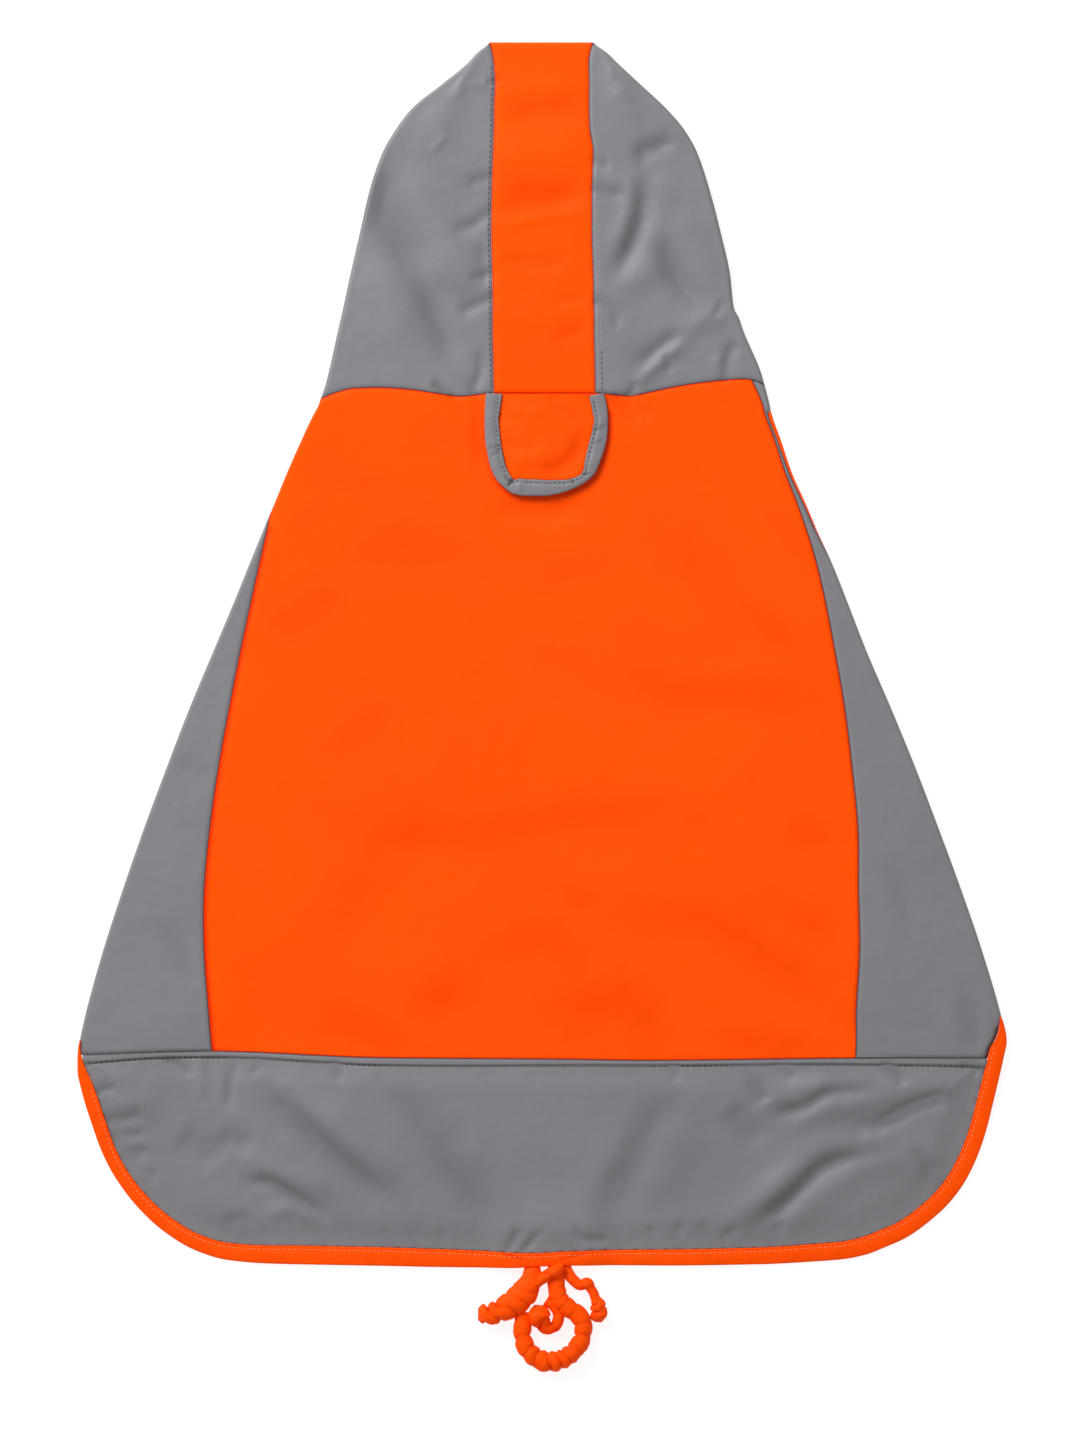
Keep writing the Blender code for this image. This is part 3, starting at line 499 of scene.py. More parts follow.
RUMP_CREASES = (
    (-0.8, 2.2, (-193, -183), (-186, -187), (-180, -192)),
    (-1.0, 2.6, (-160, -186), (-161, -197), (-162, -210)),
    (-1.7, 6.0, (-148, -195), (-128, -213), (-106, -233), (-88, -248), (-68, -262)),
    (1.2, 7.0, (-140, -219), (-118, -238), (-100, -257)),
    (1.3, 9.0, (-115, -202), (-90, -227), (-70, -249)),
    (-1.6, 3.6, (-157, -246), (-144, -246), (-125, -256), (-106, -268)),
    (1.2, 4.2, (-145, -264), (-129, -259), (-114, -270)),
    (-0.9, 3.2, (-148, -278), (-150, -271), (-154, -265), (-166, -268)),
    (-1.4, 9.0, (-92, -188), (-75, -202), (-58, -219), (-43, -240), (-30, -258), (-18, -284)),
    (1.0, 8.0, (-44, -219), (-24, -246), (-15, -268)),
    (-0.9, 2.4, (-230, -200), (-225, -198), (-219, -197)),
    (-1.0, 3.4, (-226, -215), (-214, -213), (-203, -210)),
    (-0.8, 3.0, (-221, -223), (-212, -222), (-203, -220)),
    (-0.9, 2.8, (-215, -234), (-209, -232), (-202, -228)),
    (-0.8, 2.4, (-208, -247), (-203, -244), (-198, -239)),
    (-0.9, 8.0, (-189, -220), (-177, -228), (-165, -238)),
    (-0.8, 6.0, (-169, -222), (-158, -225), (-146, -228)),
    (0.7, 6.0, (-225, -205), (-208, -204), (-192, -197)),
    (-0.8, 1.8, (-144, -279), (-142, -275), (-140, -270)),
    (-0.7, 1.8, (-131, -280), (-130, -276), (-131, -271)),
    (-0.8, 1.8, (-111, -280), (-114, -277), (-116, -272)),
    (-0.9, 2.2, (-76, -281), (-79, -276), (-81, -270)),
    (-0.8, 2.2, (-64, -281), (-66, -276), (-67, -271)),
    (-0.9, 2.6, (-56, -281), (-52, -276), (-49, -271)),
    (-1.1, 2.4, (-18, -282), (-14, -276), (-11, -268)),
    (-0.9, 2.0, (-8, -281), (-4, -276), (1, -270)),
    (-0.7, 2.2, (-107, -185), (-106, -189), (-102, -194)),
    (-0.6, 2.2, (-147, -183), (-148, -188), (-151, -191)),
    (0.8, 3.0, (-177, -183), (-176, -194), (-177, -205)),
    (-1.2, 5.0, (108, -191), (113, -199), (118, -207)),
    (-1.6, 4.2, (114, -203), (122, -210), (135, -208), (151, -200), (170, -198), (185, -197)),
    (1.2, 6.0, (124, -219), (149, -211), (174, -206)),
    (1.0, 4.0, (126, -197), (138, -196), (154, -191)),
    (-1.2, 3.0, (180, -187), (185, -191), (189, -198)),
    (-1.4, 4.6, (160, -214), (172, -218), (190, -209), (208, -203), (226, -214)),
    (1.0, 5.0, (165, -222), (173, -222), (185, -218)),
    (-0.9, 2.4, (225, -215), (219, -210), (212, -207)),
    (-1.7, 4.8, (100, -270), (119, -263), (133, -251), (146, -239), (162, -233), (176, -231), (191, -232)),
    (1.3, 7.0, (122, -274), (138, -259), (157, -246), (176, -239)),
    (1.3, 8.0, (110, -256), (129, -241), (146, -226), (170, -222)),
    (-1.0, 3.4, (206, -246), (200, -236), (191, -227)),
    (-1.6, 9.0, (82, -196), (61, -212), (48, -233), (39, -252), (30, -276)),
    (-1.0, 7.0, (97, -205), (107, -218), (117, -228)),
    (1.0, 9.0, (88, -215), (70, -233), (55, -262)),
    (-0.9, 2.4, (32, -276), (23, -276), (16, -268)),
    (-0.8, 2.2, (58, -281), (58, -274), (55, -268)),
    (-0.8, 2.2, (70, -280), (71, -273), (74, -265)),
    (-0.8, 2.0, (89, -280), (86, -273), (82, -265)),
    (-0.9, 2.2, (94, -280), (98, -273), (103, -268)),
    (-0.9, 2.4, (119, -279), (122, -272), (127, -266)),
    (-0.8, 2.0, (162, -276), (160, -272), (159, -268)),
    (-0.8, 2.4, (69, -187), (70, -191), (71, -195)),
    (-0.8, 2.4, (124, -187), (129, -189), (133, -193)),
    (-0.8, 2.2, (220, -186), (224, -188), (228, -192)),
    (-0.8, 2.0, (211, -241), (207, -247), (203, -248)),
    (-0.7, 2.0, (191, -264), (188, -259), (185, -256)),
    (-0.7, 2.0, (107, -189), (110, -194), (108, -199)),
)
STRIP_CREASES = (
    (1.4, 12.0, (-26, 292), (0, 286), (28, 290)),
    (-1.2, 7.0, (-26, 262), (0, 262), (28, 268)),
    (0.9, 3.0, (-14, 251), (4, 255), (26, 258)),
    (-0.6, 6.0, (-20, 306), (4, 308), (26, 304)),
    (0.8, 7.0, (-24, 322), (4, 320), (24, 326)),
    (-0.6, 3.6, (-24, 232), (0, 230), (18, 232)),
    (-0.7, 4.0, (4, 190), (16, 193), (27, 197)),
    (0.6, 6.0, (-22, 204), (0, 202), (26, 208)),
    (-0.5, 3.0, (10, 210), (18, 212), (27, 214)),
)
BODY_CREASES = (
    (-0.9, 3.8, (-31.5, 161), (-32, 138), (-29, 116)),
    (-0.9, 6.0, (-30, 104), (0, 101), (30, 106)),
    (-1.1, 2.6, (38, 160), (46, 152), (52, 144)),
    (-0.8, 2.4, (45, 161), (52, 155), (60, 150)),
    (-0.5, 16.0, (-120, 60), (-70, 74), (-10, 66)),
    (0.5, 18.0, (-60, 120), (0, 84), (70, 96)),
    (-0.45, 14.0, (30, 46), (76, 30), (120, 36)),
    (-0.5, 16.0, (-140, -40), (-90, -66), (-30, -60)),
    (0.5, 16.0, (-10, -20), (50, -42), (130, -30)),
    (-0.4, 12.0, (60, -90), (100, -112), (148, -106)),
    (0.4, 14.0, (-150, -120), (-100, -136), (-40, -128)),
    (-0.7, 1.8, (-46, 161), (-42, 156), (-36, 152)),
    (-0.7, 1.6, (-33, 161), (-32, 157), (-29, 154)),
    (-0.6, 2.0, (40, 161), (43, 157), (48, 154)),
    (-0.7, 4.0, (217, -150), (224, -164), (230, -180)),
    (0.6, 5.0, (208, -150), (214, -166), (220, -178)),
    (-0.4, 6.0, (-190, -26), (-178, -34), (-168, -40)),
    (-0.5, 5.0, (-200, -110), (-186, -128), (-180, -150)),
    (-0.4, 5.0, (176, -80), (188, -100), (194, -124)),
)
print(len(HOOD_CREASES) + len(STRIP_CREASES) + len(BODY_CREASES) + len(RUMP_CREASES), "creases")

# %% [markdown]
# ## From a row to a fold
# The height depends on the distance from the crease's line, so a crease can bend and is as wide all along.
# Rows are only worked out in their own zone of the coat, because there are many of them and many points.

# %% Creases as heights
CREASE_DEPTH = 1.6  # troughs are drawn this much deeper than their rows say
PUCKER = 3.5  # the widest crease that starts at full depth, as a pucker does at its seam
PUCKER_DEPTH = 1.25
CREASE_STEPS = 14
CREASE_START = 0.3  # a crease comes in over this part of its length
CREASE_END = 0.35  # and fades out over this one
CREASE_ZONES = (  # rows, the heights between which they count, and how far from the middle they do
    (HOOD_CREASES, 162, 400, 300),
    (STRIP_CREASES, 162, 400, 30),
    (BODY_CREASES, -200, 170, 300),
    (RUMP_CREASES, -300, -176, 300),
)


def crease(x, y, rise, width, *places):
    """rise times a bell curve of the distance from the line through the places.

    It fades out towards its end, and towards its start too unless it is narrow enough to be a pucker
    from a seam.
    """
    line = along(places, CREASE_STEPS)
    start, run = line[:-1], np.diff(line, axis=0)
    best, part = np.full(x.shape, np.inf), np.zeros(x.shape)
    for step, (origin, way) in enumerate(zip(start, run)):
        gone = np.clip(((x - origin[0]) * way[0] + (y - origin[1]) * way[1]) / (way @ way), 0, 1)
        away = np.hypot(x - origin[0] - gone * way[0], y - origin[1] - gone * way[1])
        part = np.where(away < best, (step + gone) / len(start), part)
        best = np.minimum(away, best)
    fade = ease((1 - part) / CREASE_END) * (ease(part / CREASE_START) if width > PUCKER else 1)
    deeper = 1 if rise > 0 else CREASE_DEPTH if width > PUCKER else PUCKER_DEPTH
    return deeper * rise * fade * np.exp(-((best / width) ** 2))


def creased(x, y):
    """The sum of all creases of the upper layer at a place."""
    x, y = np.broadcast_arrays(x, y)
    total = np.zeros(x.shape)
    for rows, low, high, half in CREASE_ZONES:
        near = (y > low) & (y < high) & (np.abs(x) < half)
        if near.any():
            total[near] += sum(crease(x[near], y[near], *row) for row in rows)
    return total


print("a trough of the hood:", round(float(creased(np.array([-74.0]), np.array([248.0]))[0]), 2), "mm")

# %% [markdown]
# ## Making a sheet of cloth
# A sheet is a grid of places in the pattern. The map gives its outer face, and the same places at the
# wall's depth give its inner face, so the two faces and the rim round them close one thin shell. A UV map
# holds the pattern's own millimetres, for weaves that have to follow the cloth.

# %% Meshes from grids
MERGE = 0.02  # points nearer than this, in millimetres, become one


def grid_faces(rows, count, closed=False):
    """Quads of a grid of points, its rows joined into rings where it is closed."""
    row, column = np.mgrid[0 : rows - 1, 0 : count if closed else count - 1]
    after = (column + 1) % count
    row, after_row = row * count, (row + 1) * count
    return np.stack((row + column, row + after, after_row + after, after_row + column), axis=-1).reshape(-1, 4)


def new_piece(name, points, faces, pattern, cloth, painted_shade=None, merge=True):
    """An object from points in millimetres, quads, and the pattern's place of each point for its UV map."""
    points = (np.asarray(points, float).reshape(-1, 3) - (*CENTRE, 0)) * METRES
    mesh = bpy.data.meshes.new(name)
    mesh.vertices.add(len(points))
    mesh.vertices.foreach_set("co", points.ravel())
    mesh.loops.add(faces.size)
    mesh.loops.foreach_set("vertex_index", faces.ravel())
    mesh.polygons.add(len(faces))
    mesh.polygons.foreach_set("loop_start", np.arange(0, faces.size, faces.shape[1]))
    mesh.update(calc_edges=True)
    places = pattern.reshape(-1, 2)[faces.ravel()].ravel() * METRES
    mesh.uv_layers.new(name="pattern").data.foreach_set("uv", places)
    # painted shade at each point, 0 where none is painted
    mesh.attributes.new("painted_shade", "FLOAT", "POINT").data.foreach_set(
        "value", np.zeros(len(points)) if painted_shade is None else np.ravel(painted_shade))
    mesh.materials.append(cloth)
    skin = bmesh.new()
    skin.from_mesh(mesh)
    if merge:  # points that were squeezed together, as at the end of a tube
        bmesh.ops.remove_doubles(skin, verts=skin.verts, dist=MERGE * METRES)
    bmesh.ops.recalc_face_normals(skin, faces=skin.faces)
    skin.to_mesh(mesh)
    skin.free()
    mesh.shade_smooth()
    made = bpy.data.objects.new(name, mesh)
    bpy.context.scene.collection.objects.link(made)
    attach(made, "root")
    return made


print("a grid of 3 by 4 points has", len(grid_faces(3, 4)), "faces")

# %% [markdown]
# ## Shells and tubes
# A panel is an open sheet and needs a rim. Tapes, loops and stitches are closed round, so their rows of
# points join into rings. A solidify modifier could give a panel its wall too. Here the map takes the depth
# itself, so the inner face of a fold is worked out like the outer one.

# %% Shells and tubes
def shell(name, place, across, up, cloth, painted_shade=0.0):
    """A closed thin sheet: the outer face, the inner face a wall's depth under it, and the rim between."""
    outer, inner = place(across, up, 0.0), place(across, up, WALL)
    index = np.arange(across.size).reshape(across.shape)
    sheet = grid_faces(*across.shape)
    rim = np.concatenate((index[0, :-1], index[:-1, -1], index[-1, :0:-1], index[:0:-1, 0]))
    after = np.roll(rim, -1)
    edge = np.stack((after, rim, rim + index.size, after + index.size), axis=-1)
    faces = np.concatenate((sheet, sheet[:, ::-1] + index.size, edge))
    pattern = np.stack((across, up), axis=-1).reshape(-1, 2)
    painted_shade = np.ravel(np.broadcast_to(painted_shade, across.shape))
    return new_piece(name, np.concatenate((outer.reshape(-1, 3), inner.reshape(-1, 3))), faces,
                     np.concatenate((pattern, pattern)), cloth, np.concatenate((painted_shade, painted_shade)))


def tube(name, rings, pattern, cloth, painted_shade=None):
    """A closed skin through rings of points, which shrinks to one point at each end."""
    ends = [np.broadcast_to(rings[row].mean(axis=0), rings[:1].shape) for row in (0, -1)]
    rings = np.concatenate((ends[0], rings, ends[1]))
    pattern = np.concatenate((pattern[:1], pattern, pattern[-1:]))
    if painted_shade is not None:
        painted_shade = np.concatenate((painted_shade[:1], painted_shade, painted_shade[-1:]))
    return new_piece(name, rings, grid_faces(*rings.shape[:2], closed=True), pattern, cloth, painted_shade)


print("a ring of 4 points and the next make", len(grid_faces(2, 4, closed=True)), "faces")

# %% [markdown]
# ## Placing the panels' points
# A panel lies between two side seams and two cross seams. Its points crowd at the seams, where the cloth
# dips into the stitching, and round a fold. Because a seam's place depends on the height and the height of
# a cross seam on the place, the grid is worked out again a few times until both agree.

# %% Grids of a panel
TURN = np.linspace(-2.6, 2.6, 15)  # millimetres before and past a fold
SEAM_STEPS = np.array((0.0, 0.35, 0.8, 1.4, 2.2, 3.4))
SEAM_DIP = 0.55  # how far cloth dips where it goes into a seam
SEAM_DIP_WIDTH = 2.0
SQUEEZE = 1.5  # columns crowd towards a seam by this power
ROUNDS = 12  # times that the grid is worked out
FOLD_CLEAR = 10.0  # creases come in over this way from a side fold


def spaced(length, spacing):
    """Places from 0 to a length: SEAM_STEPS at both ends and even steps between."""
    middle = np.linspace(SEAM_STEPS[-1], length - SEAM_STEPS[-1], max(2, round(length / spacing)))
    return np.concatenate((SEAM_STEPS[:-1], middle, length - SEAM_STEPS[-2::-1]))


def panel(start, end, edge, bottom, top, low, high, columns, spacing, floor=None):
    """(across, up) of a panel's grid: columns before and after the fold, squeezed towards the seams."""
    before, after = columns
    heights = spaced(high - low, spacing)[:, None]
    rows = heights / heights[-1]
    heights = low + heights
    steps = np.concatenate((np.full(before, TURN[0]), TURN, np.full(after, TURN[-1])))
    ahead = np.concatenate(((np.arange(before) / max(before, 1)) ** SQUEEZE, np.ones(len(TURN) + after)))
    behind = 1 - (np.arange(after, 0, -1) - 1) / max(after, 1)
    behind = np.concatenate((np.zeros(before + len(TURN)), 1 - (1 - behind) ** SQUEEZE))
    up = heights + np.zeros(len(steps))
    for _ in range(ROUNDS):
        first, last = start(up), end(up)
        across = np.clip(edge(up) + steps, first, last)
        across = first + (across - first) * ahead
        across = across + (last - across) * behind
        level = bottom(across, up) * (1 - rows) + top(across, up) * rows
        up = np.maximum(level, floor(across, up)) if floor else level
    return across, up


def dip(across, up, start, end, bottom, top):
    """How far the cloth sinks beside its seams: nothing inside, SEAM_DIP at the edge."""
    beside = np.minimum(across - start(up), end(up) - across)
    cross = np.minimum(up - bottom(across, up), top(across, up) - up)
    return SEAM_DIP * (1 - ease(np.minimum(beside, cross) / SEAM_DIP_WIDTH))


def laid_cloth(across, up, depth, sunk):
    """The map of the pattern with creases and seam dips, which the upper layer has and the lower hasn't."""
    left, right = fold("left", up), fold("right", up)
    x_left, top_left = turned(-across, -left, (WALL + lift(left, up)) / 2, depth)
    x_right, top_right = turned(across, right, (WALL + lift(right, up)) / 2, depth)
    on_right = across > (left + right) / 2
    x = np.where(on_right, x_right, -x_left)
    top = np.where(on_right, top_right, top_left)
    inside = np.minimum(x - left, right - x)
    height = np.maximum(lift(beneath(across, up), up) + creased(x, up) * ease(inside / FOLD_CLEAR) - sunk, 0)
    return np.stack((x, up, through(WALL + height, top, depth)), axis=-1)


print(len(spaced(300, 3)), "rows of points over 300 mm")

# %% [markdown]
# ## Materials
# The coat is softshell: a tightly woven polyester face with a water-repellent coating, bonded to a thin
# fleece. The coating hides most of the weave and gives a soft satin look, so a fold shows as a broad
# gradient and not as a highlight. Orange is a high-visibility dye, grey a plain one. The thread is spun
# polyester.

# %% Materials
def linear(colour):
    """An sRGB hex colour as linear light."""
    parts = [int(colour[place : place + 2], 16) / 255 for place in (1, 3, 5)]
    return (*(part / 12.92 if part <= 0.04045 else ((part + 0.055) / 1.055) ** 2.4 for part in parts), 1.0)


def add(tree, kind, settings, inputs):
    """A node with its settings, whose inputs, by name or place, take a value or another node's output."""
    made = tree.nodes.new(kind)
    for name, value in settings.items():
        setattr(made, name, value)
    for name, value in inputs.items():
        if isinstance(value, bpy.types.NodeSocket):
            tree.links.new(value, made.inputs[name])
        else:
            made.inputs[name].default_value = value
    return made


def new_material(name):
    """A material with an empty node tree and its output."""
    made = bpy.data.materials.new(name)
    made.use_nodes = True
    made.node_tree.nodes.clear()
    return made, made.node_tree, made.node_tree.nodes.new("ShaderNodeOutputMaterial")


WEAVE = 1.1  # the real weave is about 0.3 mm, which a whole-coat picture can't show, so it is drawn coarser
WAVE_LENGTH = 0.314  # of Blender's wave texture at scale 1


def softshell(name, colour, shade, painted_shade_colour, specular, sheen):
    """Coated softshell: a dyed weave under a satin coating, darker where painted shade is above 0."""
    made, tree, output = new_material(name)
    pattern = add(tree, "ShaderNodeUVMap", {"uv_map": "pattern"}, {}).outputs[0]
    place = add(tree, "ShaderNodeTexCoord", {}, {}).outputs["Object"]
    # painted shade at each point of the mesh
    painted_shade = add(tree, "ShaderNodeAttribute", {"attribute_name": "painted_shade"}, {}).outputs["Fac"]
    cloud = add(tree, "ShaderNodeTexNoise", {}, {"Vector": place, "Scale": 16.0, "Detail": 3.0}).outputs[0]
    soft = add(tree, "ShaderNodeTexNoise", {}, {"Vector": place, "Scale": 75.0, "Detail": 2.0}).outputs[0]
    grain = add(tree, "ShaderNodeTexNoise", {}, {"Vector": pattern, "Scale": 1500.0, "Detail": 1.0}).outputs[0]
    threads = {"Vector": pattern, "Scale": WAVE_LENGTH / WEAVE * 1000}
    warp, weft = (add(tree, "ShaderNodeTexWave", {"bands_direction": way}, threads).outputs["Fac"]
                  for way in ("X", "Y"))
    weave = add(tree, "ShaderNodeMath", {"operation": "MULTIPLY"}, {0: warp, 1: weft}).outputs[0]
    woven = add(tree, "ShaderNodeMath", {"operation": "MULTIPLY_ADD"}, {0: grain, 1: 0.8, 2: weave}).outputs[0]
    tone = add(tree, "ShaderNodeMapRange", {}, {"Value": cloud, "From Min": 0.3, "From Max": 0.7,
                                                "To Min": 0.35, "To Max": 0.0}).outputs[0]
    colours = {"data_type": "RGBA"}
    base_colour = add(tree, "ShaderNodeMix", colours, {0: tone, 6: linear(colour), 7: linear(shade)}).outputs[2]
    # painted shade: darker towards the third colour
    base_colour = add(tree, "ShaderNodeMix", colours, {0: painted_shade, 6: base_colour, 7: linear(painted_shade_colour)}).outputs[2]
    fine = add(tree, "ShaderNodeBump", {}, {"Strength": 0.5, "Distance": 0.00004, "Height": woven}).outputs[0]
    folds = add(tree, "ShaderNodeBump", {}, {"Strength": 1.0, "Distance": 0.0006, "Height": soft,
                                             "Normal": fine}).outputs[0]
    surface = add(tree, "ShaderNodeBsdfPrincipled", {}, {
        "Base Color": base_colour, "Roughness": 0.5, "IOR": 1.5, "Specular IOR Level": specular,
        "Sheen Weight": sheen, "Sheen Roughness": 0.5, "Sheen Tint": linear(colour), "Normal": folds})
    tree.links.new(surface.outputs[0], output.inputs["Surface"])
    return made


def spun(name, colour):
    """Sewing thread: a plain dyed polyester yarn, too thin for its twist to show."""
    made, tree, output = new_material(name)
    surface = add(tree, "ShaderNodeBsdfPrincipled", {}, {
        "Base Color": linear(colour), "Roughness": 0.65, "Specular IOR Level": 0.3, "Sheen Weight": 0.1})
    tree.links.new(surface.outputs[0], output.inputs["Surface"])
    return made


# the third colour of each softshell is its painted shade colour, for valleys, seams, bands and the flap's
# shadow
orange = softshell("orange coated softshell", "#FC4E00", "#F04400", "#C41200", 0.05, 0.04)
grey = softshell("grey coated softshell", "#77767A", "#6C6B6F", "#303034", 0.3, 0.1)
dark_thread = spun("dark thread", "#3A3A3E")
grey_thread = spun("grey thread", "#909095")
orange_thread = spun("orange thread", "#FF8048")
print("finishes:", [finish.name for finish in (orange, grey, dark_thread, grey_thread, orange_thread)])

# %% [markdown]
# ## Shade
# Cloth is darker in a valley and right at a seam, where less of the room's light comes in. The render finds
# a part of that from the shape. The rest, and the faintest dents, which the mesh leaves out, are painted
# shade, and so is the flap's shadow on the back: each point of a sheet holds a value of painted shade, by
# which the material darkens its colour. A painted texture would do too, but it would tie the look to one UV
# layout.

# %% Where the cloth is darker
VALLEY = 13.0  # a valley this deep would be wholly dark with painted shade
MOST_SHADE = 0.5
SEAM_DARK = 0.85  # how dark the painted shade is at a seam
SEAM_SHADE = 0.72  # the part of a seam's dip from which it darkens

# The leash flap: the free edge of its tape, from the neck seam round and back, and the tape's width there,
# which pinches at the lower corners
FLAP_EDGE = (
    (-28.4, 162.9, 8.5), (-28.8, 155.6, 7.9), (-29.0, 149.0, 7.2), (-28.8, 140.1, 7.8), (-27.5, 131.1, 7.8),
    (-25.3, 122.8, 7.6), (-22.3, 117.4, 7.2), (-18.1, 113.3, 6.4), (-15.7, 111.5, 8.0), (-12.8, 110.3, 8.6),
    (-6.8, 109.6, 8.6), (1.6, 109.6, 8.2), (8.7, 110.6, 7.4), (17.0, 113.3, 5.4), (23.6, 116.8, 4.7),
    (26.6, 119.5, 5.8), (28.7, 122.1, 7.0), (31.0, 127.6, 7.9), (33.2, 134.1, 8.5), (34.7, 141.9, 8.1),
    (35.0, 149.0, 7.2), (34.6, 155.0, 7.8), (32.9, 163.0, 7.8),
)
FLAP_SHADE = (0.8, -1.0, 1.7, 0.6)  # its painted shadow on the back: how far across and down, how wide, how dark
FLAP_STEPS = 120  # places along the flap's outline
FLAP_SKIP = 8  # of which these lie in the seam at each end
FLAP_ZONE = (50.0, 90.0, 166.0)  # half the width and the heights between which the painted shadow can fall

# Painted shade in soft bands over the hood, the back and the rump, as (how dark, width, points along it)
SHADE_BANDS = (
    (0.20, 9.0, (-81.0, 284.0), (-86.0, 259.0), (-76.0, 236.0), (-68.0, 222.0)),  # hood, left side
    (0.18, 6.0, (-74.0, 232.0), (-60.0, 208.0), (-49.0, 186.0), (-42.0, 168.0)),
    (0.14, 6.0, (-44.0, 274.0), (-34.0, 274.0), (-26.0, 271.0)),
    (0.12, 6.0, (-46.0, 251.0), (-36.0, 250.0), (-26.0, 249.0)),
    (0.12, 6.0, (-55.0, 233.0), (-47.0, 217.0), (-26.0, 219.0)),
    (0.22, 3.0, (-56.0, 171.0), (-52.0, 166.0), (-49.0, 162.0)),
    (0.20, 7.0, (42.0, 284.0), (58.0, 288.0), (76.0, 294.0)),  # hood, right side
    (0.20, 6.0, (50.0, 288.0), (52.0, 262.0), (50.0, 248.0), (36.0, 222.0)),
    (0.15, 6.0, (26.0, 265.0), (35.0, 267.0), (46.0, 267.0)),
    (0.16, 7.0, (60.0, 244.0), (70.0, 225.0), (86.0, 205.0)),
    (0.12, 5.0, (56.0, 193.0), (50.0, 184.0), (43.0, 172.0)),
    (0.12, 5.0, (72.0, 199.0), (65.0, 190.0), (57.0, 177.0)),
    (0.12, 6.0, (-23.0, 309.0), (0.0, 311.0), (25.0, 315.0)),  # hood, centre strip
    (0.15, 9.0, (-23.0, 276.0), (0.0, 268.0), (26.0, 266.0)),
    (0.13, 7.0, (-12.0, 183.0), (6.0, 188.0), (28.0, 197.0)),
    (0.13, 7.0, (-122.0, 123.0), (-98.0, 118.0), (-73.0, 109.0)),
    (0.08, 7.0, (-112.0, 108.0), (-120.0, 100.0), (-127.0, 90.0)),
    (0.07, 8.4, (-65.0, 144.0), (-54.0, 143.0), (-42.0, 140.0)),
    (0.17, 11.2, (-143.0, 40.0), (-122.0, 50.0), (-104.0, 66.0)),
    (0.10, 18.2, (-104.0, 66.0), (-73.0, 84.0), (-26.0, 77.0)),
    (0.10, 8.4, (-5.0, 70.0), (20.0, 73.0), (41.0, 78.0)),
    (0.08, 7.0, (-5.0, 27.0), (15.0, 26.0), (31.0, 22.0)),
    (0.17, 11.2, (31.0, 22.0), (75.0, 9.0), (110.0, 7.0), (150.0, 2.0)),
    (0.09, 12.6, (57.0, 92.0), (78.0, 78.0), (98.0, 58.0)),
    (0.11, 7.0, (98.0, 58.0), (118.0, 42.0), (140.0, 26.0)),
    (0.10, 7.0, (114.0, 105.0), (128.0, 92.0), (141.0, 76.0)),
    (0.13, 8.4, (-114.0, -27.0), (-94.0, -10.0), (-73.0, 4.0)),
    (0.17, 9.8, (-99.0, -105.0), (-90.0, -84.0), (-81.0, -66.0), (-37.0, -65.0), (15.0, -56.0),
     (72.0, -51.0)),
    (0.07, 8.4, (72.0, -51.0), (86.0, -60.0), (98.0, -71.0)),
    (0.09, 7.0, (5.0, -92.0), (18.0, -99.0), (31.0, -105.0)),
    (0.16, 9.8, (31.0, -105.0), (83.0, -110.0), (109.0, -121.0), (142.0, -147.0), (156.0, -156.0)),
    (0.13, 8.4, (124.0, -61.0), (136.0, -64.0), (150.0, -67.0)),
    (0.13, 8.4, (124.0, -108.0), (136.0, -109.0), (150.0, -111.0)),
    (0.15, 11.2, (-31.0, -128.0), (5.0, -119.0), (25.0, -146.0)),
    (0.19, 11.2, (-68.0, -157.0), (-52.0, -148.0), (-39.0, -142.0)),
    (0.19, 12.6, (5.0, -154.0), (41.0, -152.0), (67.0, -175.0)),
    (0.18, 9.8, (-120.0, -157.0), (-92.0, -166.0), (-65.0, -175.0)),
    (0.13, 7.0, (90.0, -170.0), (118.0, -173.0), (145.0, -176.0)),
    (0.16, 8.0, (-148.0, -195.0), (-106.0, -231.0), (-68.0, -259.0)),  # rump
    (0.14, 11.0, (-80.0, -192.0), (-46.0, -231.0), (-20.0, -277.0)),
    (0.14, 7.0, (-158.0, -235.0), (-132.0, -250.0), (-106.0, -268.0)),
    (0.14, 6.0, (-170.0, -262.0), (-158.0, -268.0), (-146.0, -276.0)),
    (0.10, 6.0, (-228.0, -215.0), (-212.0, -215.0), (-194.0, -214.0)),
    (0.10, 6.0, (-218.0, -232.0), (-208.0, -228.0), (-196.0, -224.0)),
    (0.10, 10.0, (70.0, -196.0), (49.0, -234.0), (26.0, -274.0)),
    (0.18, 6.0, (112.0, -200.0), (138.0, -209.0), (164.0, -199.0)),
    (0.14, 6.0, (170.0, -213.0), (195.0, -209.0), (218.0, -197.0)),
    (0.18, 7.0, (96.0, -275.0), (126.0, -253.0), (154.0, -234.0), (178.0, -231.0)),
)
BAND_STEPS = 40  # places along a band from which its distance is taken
BAND_FADE = 0.35  # a band fades over this part of its line, at both ends,
BAND_ENDS = 0.25  # to this part of how dark it is


def shaded(x, y):
    """How much painted shade darkens the cloth in its valleys, 0 to MOST_SHADE."""
    return np.clip(-creased(x, y) / VALLEY, 0, MOST_SHADE)


def seamed(sunk):
    """How much painted shade darkens the cloth right at a seam, from how far it has sunk there."""
    return SEAM_DARK * ease((sunk / SEAM_DIP - SEAM_SHADE) / (1 - SEAM_SHADE))


